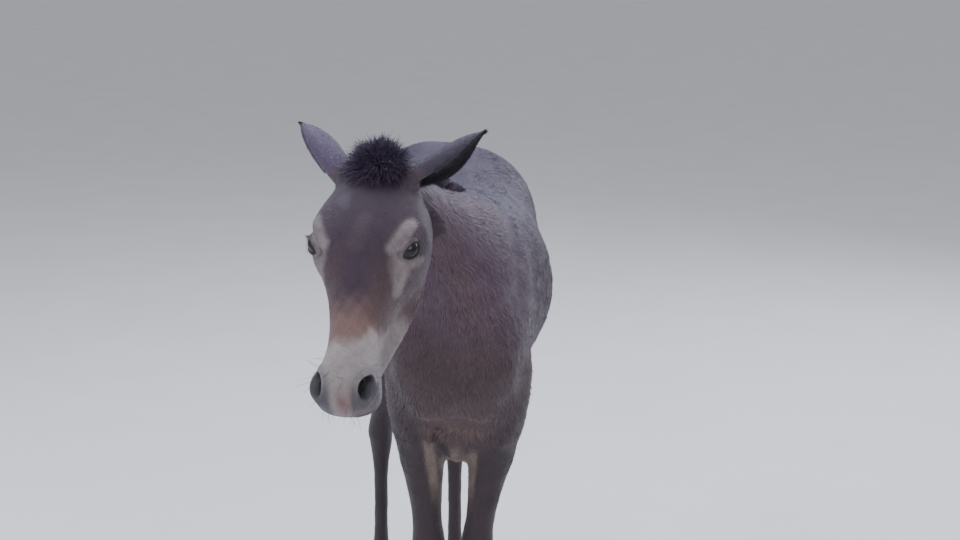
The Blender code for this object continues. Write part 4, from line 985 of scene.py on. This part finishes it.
horn, tree, shader = newMaterial("hoofHorn", 0.48, Specular_IOR_Level=0.4)
place = addNode(tree, "ShaderNodeTexCoord")
bands = addNode(tree, "ShaderNodeTexNoise", Scale=130.0, Detail=4.0, Roughness=0.6)
squeeze = addNode(tree, "ShaderNodeMapping")
squeeze.inputs["Scale"].default_value = (0.35, 0.35, 2.2)
wire(tree, place, "Object", squeeze, "Vector")
wire(tree, squeeze, "Vector", bands, "Vector")
ramped = addNode(tree, "ShaderNodeValToRGB")
ramped.color_ramp.elements[0].color = (0.030, 0.026, 0.025, 1)
ramped.color_ramp.elements[0].position = 0.30
ramped.color_ramp.elements[1].color = (0.125, 0.105, 0.092, 1)
ramped.color_ramp.elements[1].position = 0.75
wire(tree, bands, "Fac", ramped, "Fac")
wire(tree, ramped, "Color", shader, "Base Color")
raised = addNode(tree, "ShaderNodeBump", Strength=0.5, Distance=0.001)
wire(tree, bands, "Fac", raised, "Height")
wire(tree, raised, "Normal", shader, "Normal")

hoofPlan = {"rings": 40, "around": 72, "topSlope": 0.42 / 0.91, "growth": 0.00035}
for name, rows in legLines.items():
    at = rowAt(rows, 0.052)
    place = np.array((at[1], at[2], 0.052))
    # wall: a D-shaped ring swept from the sole to the sloping top, narrowing upward, with fine growth rings
    share = np.linspace(0, 1, hoofPlan["rings"])[:, None]
    turn = np.linspace(0, 2 * math.pi, hoofPlan["around"], endpoint=False)[None, :]
    c, s = np.cos(turn), np.sin(turn)
    c, s = np.sign(c) * np.abs(c) ** 0.91, np.sign(s) * np.abs(s) ** 0.91
    halfWide = 0.0352 - 0.0085 * share
    toe, heel = 0.0447 - 0.0138 * share, 0.0367 - 0.0040 * share
    slip = -0.0128 + 0.0180 * share
    px = place[0] + halfWide * c
    py = place[1] + slip + np.where(s > 0, heel, toe) * s
    limit = place[2] - hoofPlan["topSlope"] * (py - place[1]) - 0.0004      # the sloping top under the leg
    pz = share * np.clip(limit, 0.012, None)
    swell = hoofPlan["growth"] * np.sin(pz * 1500) * ramp(share, 0.05,
            0.15) * (1 - ramp(share, 0.9, 1.0)) - 0.0006 * (1 - ramp(share, 0, 0.05))
    px = px + swell * c
    py = py + swell * s
    points = np.stack([px, py, pz], -1).reshape(-1, 3)
    count, around = hoofPlan["rings"], hoofPlan["around"]
    points = np.concatenate([points, [points[:around].mean(axis=0)], [points[-around:].mean(axis=0)]])
    hoof = makeObject(name + "_horn", points, gridFaces(count, around, True), fans(count, around))
    hoof.data.materials.append(horn)
    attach(hoof, "root")
    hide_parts(name + "_hoof")
report("hooves")

# Lie of the coat


def coatFlow(points, normals):   # the way the hair points, laid on the skin
    x, y, z = points.T
    h = inHead(points)
    flow = np.tile((0.0, 0.86, -0.50), (len(points), 1))
    flow[:, 0] += 0.25 * np.sign(x) * ramp(z, 0.98, 1.08)
    flow[:, 2] -= 0.6 * ramp(np.abs(x), 0.10, 0.16)
    chest = bump(y, -0.46, 0.10) * (1 - ramp(z, 0.95, 1.05))
    flow = mixIn(flow, np.stack([0.5 * x / 0.1, 0 * x, -1 + 0 * x], -1), chest)
    rump = ramp(y, 0.34, 0.44)
    flow = mixIn(flow, np.array((0.0, 0.3, -1.0)), rump)
    legs = ramp(0.72 - z, 0.0, 0.12)
    flow = mixIn(flow, np.array((0.0, 0.18, -1.0)), legs)
    neckWay = np.array((0.10, 0.62, -0.78))
    onNeck = ramp(-y, 0.28, 0.40) * ramp(z, 0.92, 1.02)
    flow = mixIn(flow, neckWay, onNeck)
    isHead = ramp(h[:, 0], -0.01, 0.04) * headPart(points)
    whorl = h - np.array((0.128, 0.086, 0.0))
    front = np.stack([ramp(h[:, 0], 0.06, 0.17) * 2 - 1, 0 * x,
                      0.9 * whorl[:, 2] / 0.06 * bump(h[:, 0], 0.13, 0.10)], -1)
    cheek = np.tile((0.25, -1.0, 0.0), (len(points), 1))
    cheek[:, 0] += 0.9 * ramp(h[:, 0], 0.16, 0.26)
    face = mixIn(front, cheek, ramp(np.abs(h[:, 2]), 0.040, 0.080))
    flow = mixIn(flow, face @ headAxes, isHead)
    flow = flow + 0.22 * np.stack([ripple(points, 0.09, 21), ripple(points, 0.09, 22),
            ripple(points, 0.09, 23)], -1)
    flow = flow - (flow * normals).sum(axis=1, keepdims=True) * normals
    return unit(flow)


def roundOf(a, b):               # an angle as a share of a full turn
    return (np.arctan2(a, b) / (2 * math.pi)) % 1.0


# unwrap of the skin: each part is rolled out round its own axis into its own strip of the square
def unwrap(points):
    x, y, z = points.T
    h = inHead(points)
    uv = np.stack([roundOf(x, z - 0.88), 0.02 + 0.38 * np.clip((y + 0.48) / 1.05, 0, 1)], -1)
    onNeck = (y < -0.28) & (z > 0.95 + 0.3 * (y + 0.45))
    middleX, middleZ = -0.05 + 0.1 * np.clip(y + 0.5, 0, 1), 1.06
    uv = np.where(onNeck[:, None],
                  np.stack([0.5 * roundOf(x - middleX, z - middleZ),
                            0.42 + 0.2 * np.clip((y + 0.60) / 0.35, 0, 1)], -1), uv)
    isFace = (h[:, 0] > 0.0) & headPart(points)
    uv = np.where(isFace[:, None],
                  np.stack([0.5 + 0.48 * roundOf(h[:, 2], h[:, 1]),
                            0.42 + 0.26 * np.clip(h[:, 0] / 0.42, 0, 1)], -1), uv)
    for index, (name, rows) in enumerate(legLines.items()):
        cx = atHeight(rows, z, 1)
        cy = atHeight(rows, z, 2)
        on = (z < 0.68) & ((y < 0.05) == ("fore" in name)) & (np.abs(x - cx) < 0.07) & (y < 0.46)
        turned = roundOf(x - cx, y - cy)
        uv = np.where(on[:, None],
                      np.stack([0.01 + 0.245 * index + 0.23 * turned,
                                0.72 + 0.26 * np.clip(z / 0.68, 0, 1)], -1), uv)
    return uv


# colour from root to tip, the OFBake patch at each root's place, material and body
def dressHair(made, tint, shade, roots, spots, loops, material):
    paint(made.data, (tint[:, None] * shade[None, :, None]).reshape(-1, 3))
    corner = np.clip(unwrap(roots)[:, None] + 0.0015 * spots[None], 0.001, 0.999).reshape(-1, 2)
    layer = made.data.uv_layers.new(name="OFBake")
    layer.data.foreach_set("uv", corner[loops].astype(np.float32).ravel())
    made.data.materials.append(material)
    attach(made, "root")


# tuft: a thin blade of two points at the root, two half way and one at the tip; its middle line is
# root + way*long*t - normal*long*bow*t^2, so it rises and bows back to the coat
def makeTufts(name, roots, normals, flow, long, wide, lift, bow, tint, material):
    aside = np.cross(normals, flow)
    roll = luck.normal(0, 0.22, len(roots))[:, None]
    aside = aside * np.cos(roll) + normals * np.sin(roll)
    way = flow * np.cos(lift)[:, None] + normals * np.sin(lift)[:, None]
    long, wide = long[:, None], wide[:, None]
    base = roots - normals * 0.0008
    mid = base + way * long * 0.45 - normals * long * bow * 0.20
    tip = base + way * long - normals * long * bow
    points = np.stack([base - aside * wide * 0.32, base + aside * wide * 0.32,
                       mid - aside * wide * 0.50, mid + aside * wide * 0.50, tip], 1)
    first = np.array([(0, 1, 3), (0, 3, 2), (2, 3, 4)])
    tris = (np.arange(len(roots))[:, None, None] * 5 + first[None]).reshape(-1, 3)
    made = makeObject(name, points.reshape(-1, 3), tris=tris)
    # darker at the root; lighter at the tip as a painted sheen
    shade = np.array((0.80, 0.80, 1.0, 1.0, 1.12))
    spots = np.array([(-1, -1), (1, -1), (-1, 0), (1, 0), (0, 1)])
    dressHair(made, tint, shade, roots, spots, tris.ravel(), material)


skin.data.calc_loop_triangles()
triangles = np.empty(len(skin.data.loop_triangles) * 3, np.int32)
skin.data.loop_triangles.foreach_get("vertices", triangles)
triangles = triangles.reshape(-1, 3)
skinPoints, skinNormals = pointsOf(skin.data), normalsOf(skin.data)
corners = skinPoints[triangles]
areas = np.linalg.norm(np.cross(corners[:, 1] - corners[:, 0], corners[:, 2] - corners[:, 0]), axis=1) / 2
middles = corners.mean(axis=1)

tuftPlan = {  # square millimetres for each tuft, length, width, lift in degrees, bow
    "trunk_front": (8.0, 0.0165, 0.0016, 9, 0.10), "trunk_back": (8.0, 0.0165, 0.0016, 9, 0.10),
    "neck": (7.0, 0.0155, 0.0015, 10, 0.10), "head": (2.3, 0.0075, 0.00085, 10, 0.11),
    "forelegs": (5.0, 0.0105, 0.0012, 9, 0.10), "hindlegs": (5.0, 0.0110, 0.0012, 9, 0.10),
}


def regionOf(points):
    region = np.where(points[:, 1] < 0.02, "trunk_front", "trunk_back")
    region = np.where((points[:, 1] < -0.20) & (points[:, 2] > 0.90 + 0.9 * (points[:, 1] + 0.45)),
                      "neck", region)
    region = np.where(points[:, 2] < 0.66, np.where(points[:, 1] < 0.0, "forelegs", "hindlegs"), region)
    return np.where(headPart(points) & (inHead(points)[:, 0] > -0.005), "head", region)


regions = regionOf(middles)
luck = np.random.default_rng(41)


def scatter(count):              # a random way for each hair
    return luck.normal(size=(count, 3))


eyes = [eyeCentre(side) for side in (-1, 1)]
for name, (cover, long, wide, liftDegrees, bow) in tuftPlan.items():
    chosen = np.nonzero(regions == name)[0]
    weight = areas[chosen].copy()
    h = inHead(middles[chosen])
    if name == "head":
        weight *= 1 + 1.1 * ramp(h[:, 0], 0.26, 0.34)
    count = int(weight.sum() * 1e6 / cover * (1.0))
    count = min(count, 65000)
    pick = chosen[luck.choice(len(chosen), count, p=weight / weight.sum())]
    u, v = luck.random(count), luck.random(count)
    flip = u + v > 1
    u, v = np.where(flip, 1 - u, u), np.where(flip, 1 - v, v)
    shares = np.stack([1 - u - v, u, v], -1)[..., None]
    roots = (skinPoints[triangles[pick]] * shares).sum(axis=1)
    normals = unit((skinNormals[triangles[pick]] * shares).sum(axis=1))
    h = inHead(roots)
    size = np.ones(count)
    keep = np.ones(count, bool)
    if name == "head":
        size = 1.15 - 0.62 * ramp(h[:, 0], 0.24, 0.34)
        # longer under the jaw
        size *= 1 + 0.9 * ramp(-h[:, 1], 0.045, 0.095) * (1 - ramp(h[:, 0], 0.2, 0.3))
        size *= 1 + 0.7 * (1 - ramp(h[:, 0], 0.00, 0.06))
        for centre in eyes:
            far = np.linalg.norm(roots - centre, axis=1)
            size *= 0.55 + 0.45 * ramp(far, 0.026, 0.045)
        off = h[:, 1] - mouthLine(h)
        keep &= ~((h[:, 0] > 0.318) & (np.abs(off) < 0.0032))
        for side in (-1, 1):
            r, _, _ = nostrilPlace(roots, side)
            keep &= ~((h[:, 0] > 0.33) & (h[:, 2] * side > 0.004) & (r < 1.15))
    elif "trunk" in name:
        # longer under the belly
        size *= 1 + 0.55 * ramp(0.80 - roots[:, 2], 0.0, 0.08)
    elif name == "neck":
        size *= 1 + 0.35 * ramp(-normals[:, 1], 0.3, 0.9)
    else:
        size *= 0.78 + 0.5 * ramp(roots[:, 2], 0.42, 0.62) + 0.5 * bump(roots[:, 2], 0.135,
                0.03) * (normals[:, 1] > 0.3)
        keep &= roots[:, 2] > 0.050
    flow = coatFlow(roots, normals)
    aside = np.cross(normals, flow)
    stray = luck.normal(0, 0.16, count)
    flow = flow * np.cos(stray)[:, None] + aside * np.sin(stray)[:, None]
    lift = np.radians(liftDegrees * luck.uniform(0.6, 1.5, count) + 2 * ripple(roots, 0.05, 31))
    tint = markingsShadeAndSheen(roots)
    if name == "head":
        tint = headShade(roots, tint)
    tint = tint * luck.uniform(0.80, 1.22, (count, 1))
    lengths = long * size * luck.uniform(0.75, 1.2, count)
    widths = wide * np.sqrt(size) * luck.uniform(0.75, 1.2, count)
    makeTufts("coat_" + name, roots[keep], normals[keep], flow[keep], lengths[keep], widths[keep],
              np.clip(lift[keep], 0.06, 0.7),
              bow, tint[keep], coatTufts)
    report("coat %s, %d tufts" % (name, keep.sum()))

# tufts on the backs of the ears, and longer hair inside them and along their rims
for name, (outer, inner, line) in earGrids.items():
    count = 6000
    for kind, grid, long, wide in (("back", outer, 0.0075, 0.0010), ("inside", inner, 0.017, 0.0010),
            ("rim", outer, 0.006, 0.0010)):
        number = count if kind == "back" else count // 2
        r = luck.uniform(2 if kind == "back" else 14, 58.9, number)
        c = luck.uniform(1, 39, number) if kind != "rim" else luck.choice([0.6, 39.4],
                number) + luck.normal(0, 0.4, number)
        c = np.clip(c, 0, 39.9)
        ri, ci = r.astype(int), c.astype(int)
        fr, fc = (r - ri)[:, None], (c - ci)[:, None]
        a, b = grid[ri, ci] * (1 - fr) + grid[ri + 1, ci] * fr, grid[ri, ci + 1] * (1 - fr) + grid[ri + 1,
                ci + 1] * fr
        roots = a * (1 - fc) + b * fc
        tangent, cross = grid[ri + 1, ci] - grid[ri, ci], grid[ri, ci + 1] - grid[ri, ci]
        normals = unit(np.cross(tangent, cross))
        away = outer[ri, ci] - inner[ri, ci]
        normals = normals * np.sign((normals * away).sum(axis=1, keepdims=True)) * (-1
                if kind == "inside" else 1)
        flow = np.tile(line, (number, 1)) + 0.25 * scatter(number)
        if kind == "rim":
            flow = flow + 0.8 * unit(cross) * np.where(c > 20, 1, -1)[:, None]
        flow = unit(flow - (flow * normals).sum(axis=1, keepdims=True) * normals)
        # the ear hair also takes its ear's painted light
        base = {"back": tints["earBack"] * earPlan[name][3], "inside": tints["grey"] * 0.50,
                "rim": tints["earBack"] * earPlan[name][3] * 0.85}[kind]
        tint = np.tile(base, (number, 1)) * luck.uniform(0.75, 1.25, (number, 1))
        tint = lay(tint, "mane", 0.8, ramp(r / 59, 0.84, 0.96))
        if kind == "back":
            tint = lay(tint, "coat", 1, 1 - ramp(r / 59, 0.05, 0.22))
        lift = np.radians(luck.uniform(8, 22, number) if kind == "back" else luck.uniform(15, 50, number))
        fade = 1 - 0.45 * ramp(r / 59, 0.7, 1.0)
        makeTufts("ear_%s_%s" % (name, kind), roots, normals, flow,
                  long * fade * luck.uniform(0.7, 1.2, number),
                  np.full(number, wide), lift, 0.12, tint, coatTufts)
report("ear hair")


# Long hair

# strand: a flat ribbon of even steps; its middle line is root + way*long*t + fall*long*t^2 + a small wave,
# its width swells a little after the root and narrows to a point
def makeStrands(name, roots, way, fall, face, long, wide, tint, steps=6, wave=0.06, seed=5):
    draw = np.random.default_rng(seed)
    count = len(roots)
    t = np.linspace(0, 1, steps)[None, :, None]
    way, face = unit(way), np.asarray(face, float)
    face = unit(face - (face * way).sum(axis=1, keepdims=True) * way)
    other = np.cross(way, face)
    phase = draw.uniform(0, 6.28, (count, 1, 1))
    beat = draw.uniform(0.7, 1.6, (count, 1, 1))
    curl = wave * (np.sin(t * 6.28 * beat + phase) - np.sin(phase)) * t
    curl2 = wave * (np.cos(t * 6.28 * beat * 0.8 + phase) - np.cos(phase)) * t
    middle = roots[:, None] + (way[:, None] * t + fall[:, None] * t**2 + face[:, None] * curl
            + other[:, None] * curl2) * long[:, None, None]
    width = wide[:, None, None] * (0.75 + 0.9 * t - 1.65 * t**2) * 0.5
    twist = draw.normal(0, 0.7, (count, 1, 1)) * t
    edge = face[:, None] * np.cos(twist) + other[:, None] * np.sin(twist)
    points = np.stack([middle - edge * width, middle + edge * width], 2)
    quad = np.array([(2 * k, 2 * k + 1, 2 * k + 3, 2 * k + 2) for k in range(steps - 2)])
    tipTri = np.array([(2 * steps - 4, 2 * steps - 3, 2 * steps - 2)])
    shift = np.arange(count)[:, None, None] * (2 * steps)
    quads, tris = (shift + quad[None]).reshape(-1, 4), (shift + tipTri[None]).reshape(-1, 3)
    made = makeObject(name, points.reshape(-1, 3), quads, tris)
    shade = np.repeat(np.linspace(0.75, 1.35, steps), 2)
    spots = np.stack([np.tile((-1, 1), steps), np.repeat(np.linspace(-1, 1, steps), 2)], -1)
    dressHair(made, tint, shade, roots, spots, np.concatenate([quads.ravel(), tris.ravel()]), longHair)


amount = 1.0
manePlan = {"count": 5200, "long": 0.044, "wide": 0.0030, "half": 0.010, "lean": 0.30}
count = int(manePlan["count"] * amount)
line = smoothRows(neckRows, 400)
line = line[(line[:, 1] > -0.585) & (line[:, 1] < -0.215)]
at = luck.uniform(0, len(line) - 1.01, count)
row = line[at.astype(int)]
rise = unit(row[:, :3] - row[:, 3:6])
across = neckAcross(rise)
along = np.cross(across, rise)
off = luck.uniform(-1, 1, count)
clump = ripple(row[:, :3] + off[:, None] * 0.004, 0.020, 51)[:, None]
roots = row[:, :3] + across * (off * manePlan["half"])[:,
        None] - rise * 0.003 - rise * (0.008 * off**2)[:, None]
share = np.clip((-0.232 - row[:, 1]) / 0.34, 0, 1)
fade = np.minimum(1, np.minimum(0.16 + 1.6 * share, 0.34 + 1.3 * (1 - share) ** 2))
way = rise + across * (off * manePlan["lean"])[:,
        None] + along * (0.12 + 0.26 * clump) + across * 0.16 * clump + 0.10 * scatter(count)
fall = across * (off * 0.18)[:, None] + along * 0.10 - upward * 0.05 + 0.05 * scatter(count)
tint = np.tile(tints["mane"], (count, 1)) * luck.uniform(0.7, 1.8,
        (count, 1)) + np.array((0.012, 0.005, 0.003)) * luck.random((count, 1))
# near the withers the mane takes the back's painted blue sky sheen
tint = lay(tint, "back", 1, (1 - ramp(share, 0.08, 0.55)) * 0.7)
makeStrands("mane", roots, way, fall, along + 0.4 * scatter(count),
            manePlan["long"] * fade * luck.uniform(0.70, 1.10, count),
            manePlan["wide"] * luck.uniform(0.6, 1.2, count), tint, 6, 0.05, 61)
report("mane")

tuftHair = {"count": 7500, "long": 0.042, "wide": 0.0017}
count = int(tuftHair["count"] * amount)
turn, reach = luck.uniform(0, 2 * math.pi, count), np.sqrt(luck.random(count))
ahead, aside = np.cos(turn) * reach, np.sin(turn) * reach
roots = onHead(0.005, 0.0, 0.004) + (0.027 * ahead)[:, None] * noseWay + (0.033 * aside)[:,
        None] * leftWay + (0.080 - 0.026 * reach**2)[:, None] * browWay
clump = ripple(roots, 0.022, 52)[:, None]
way = browWay * 0.60 + upward * 0.30 + (0.62 * ahead)[:, None] * noseWay + (0.50 * aside)[:,
        None] * leftWay + 0.35 * clump * leftWay + 0.22 * scatter(count)
fall = (0.36 * ahead)[:, None] * noseWay + (0.34 * aside)[:, None] * leftWay - (0.10 + 0.30 * reach)[:,
        None] * upward + 0.14 * scatter(count)
tint = np.tile(tints["mane"], (count, 1)) * luck.uniform(1.3, 2.7, (count, 1))
tint = lay(tint, "face", 1.2, ramp(ahead, 0.30, 1.0) * 0.7)
makeStrands("poll_tuft", roots - browWay * 0.010, way, fall, scatter(count),
            tuftHair["long"] * (1 - 0.22 * reach) * luck.uniform(0.55, 1.10, count),
            tuftHair["wide"] * luck.uniform(0.6, 1.2, count), tint, 7, 0.09, 62)
report("poll tuft")

tailHair = {"count": 6000, "long": 0.135, "wide": 0.0036}
count = int(tailHair["count"] * amount)
line = smoothRows(tailRows, 400)
line[:, :3] = sway(line[:, :3])
line = line[(line[:, 1] > 0.462)]
ahead = unit(np.gradient(line[:, :3], axis=0))
at = (luck.random(count) ** 0.85 * (len(line) - 1.01)).astype(int)
row, ahead = line[at], ahead[at]
turn = luck.uniform(0, 2 * math.pi, count)
behind = np.cross((1.0, 0.0, 0.0), ahead)
out = np.cos(turn)[:, None] * np.array((1.0, 0.0, 0.0)) - np.sin(turn)[:, None] * behind
roots = row[:, :3] + out * (row[:, 3] * 0.50)[:, None]
clump = ripple(roots + out * 0.02, 0.035, 53)[:, None]
spread = np.where(out[:, 1] < -0.2, 0.16, 0.40)[:, None]
way = ahead + out * (spread + 0.10 * clump) + 0.07 * scatter(count)
fall = -out * 0.24 - upward * 0.08 + 0.06 * scatter(count)
low = at / len(line)
long = tailHair["long"] * (0.62 + 0.38 * ramp(low, 0.0, 0.35)) * (1 - 0.30
        * ramp(low, 0.62, 1.0)) * luck.uniform(0.7, 1.05, count)
tint = np.tile(tints["mane"], (count, 1)) * luck.uniform(0.8, 2.2,
        (count, 1)) + np.array((0.016, 0.008, 0.005)) * luck.random((count, 1))
makeStrands("tail_hair", roots, way, fall, np.cross(out, ahead) + 0.4 * scatter(count), long,
            tailHair["wide"] * luck.uniform(0.6, 1.2, count), tint, 8, 0.05, 63)
report("tail")

# lashes, and whiskers on lips and chin
roots, way, fall, long, wide = [], [], [], [], []
for side in (-1, 1):
    centre, slant, lift, look = eyeFrame(side)
    for upper, number, length in ((1, 40, 0.0060), (-1, 20, 0.0040)):
        turn = np.linspace(0.10, 0.90, number) * math.pi * upper + luck.normal(0, 0.01, number)
        ox, oy = lidOutline(turn)
        angle = np.hypot(ox, oy) * 1.05 / eyePlan["radius"]
        flat = unit(np.stack([ox, oy], -1))
        d = np.cos(angle)[:, None] * look + np.sin(angle)[:,
                None] * (flat[:, :1] * slant + flat[:, 1:] * lift)
        roots.append(centre + d * (eyePlan["radius"] + 0.0026))
        way.append(unit(look * 0.9 + d * 0.4 - lift * 0.25 * upper + slant * (ox / 0.03)[:, None]))
        fall.append(np.tile(lift * 0.55 * upper, (number, 1)))
        long.append(length * luck.uniform(0.8, 1.2, number))
        wide.append(np.full(number, 0.00085))
number = 90
pick = np.nonzero((regions == "head") & (inHead(middles)[:, 0] > 0.325))[0]
pick = pick[luck.choice(len(pick), number, p=areas[pick] / areas[pick].sum())]
roots.append(middles[pick])
normal = skinNormals[triangles[pick, 0]]
way.append(unit(normal + 0.4 * noseWay + 0.25 * scatter(number)))
fall.append(np.tile(-upward * 0.25, (number, 1)) + 0.1 * scatter(number))
long.append(luck.uniform(0.012, 0.030, number))
wide.append(np.full(number, 0.0006))
roots, way, fall, long, wide = map(np.concatenate, (roots, way, fall, long, wide))
makeStrands("lashes", roots, way, fall, luck.normal(size=(len(roots), 3)), long, wide,
            np.tile(tints["mane"], (len(roots), 1)), 6, 0.02, 64)
report("lashes and whiskers")

# Floor

floorPaint, tree, shader = newMaterial("paleFloor", 0.85)
place = addNode(tree, "ShaderNodeTexCoord")
grain = addNode(tree, "ShaderNodeTexNoise", Scale=3.0, Detail=6.0)
wire(tree, place, "Object", grain, "Vector")
ramped = addNode(tree, "ShaderNodeValToRGB")
ramped.color_ramp.elements[0].color = (0.70, 0.69, 0.70, 1)
ramped.color_ramp.elements[1].color = (0.78, 0.77, 0.78, 1)
wire(tree, grain, "Fac", ramped, "Fac")
wire(tree, ramped, "Color", shader, "Base Color")
half = 60.0
floor = makeObject("floor",
                   np.array([(-half, -half, 0), (half, -half, 0), (half, half, 0), (-half, half, 0)]),
                   [(0, 1, 2, 3)], moved=False)
floor.data.materials.append(floorPaint)

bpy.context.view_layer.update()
report("done")
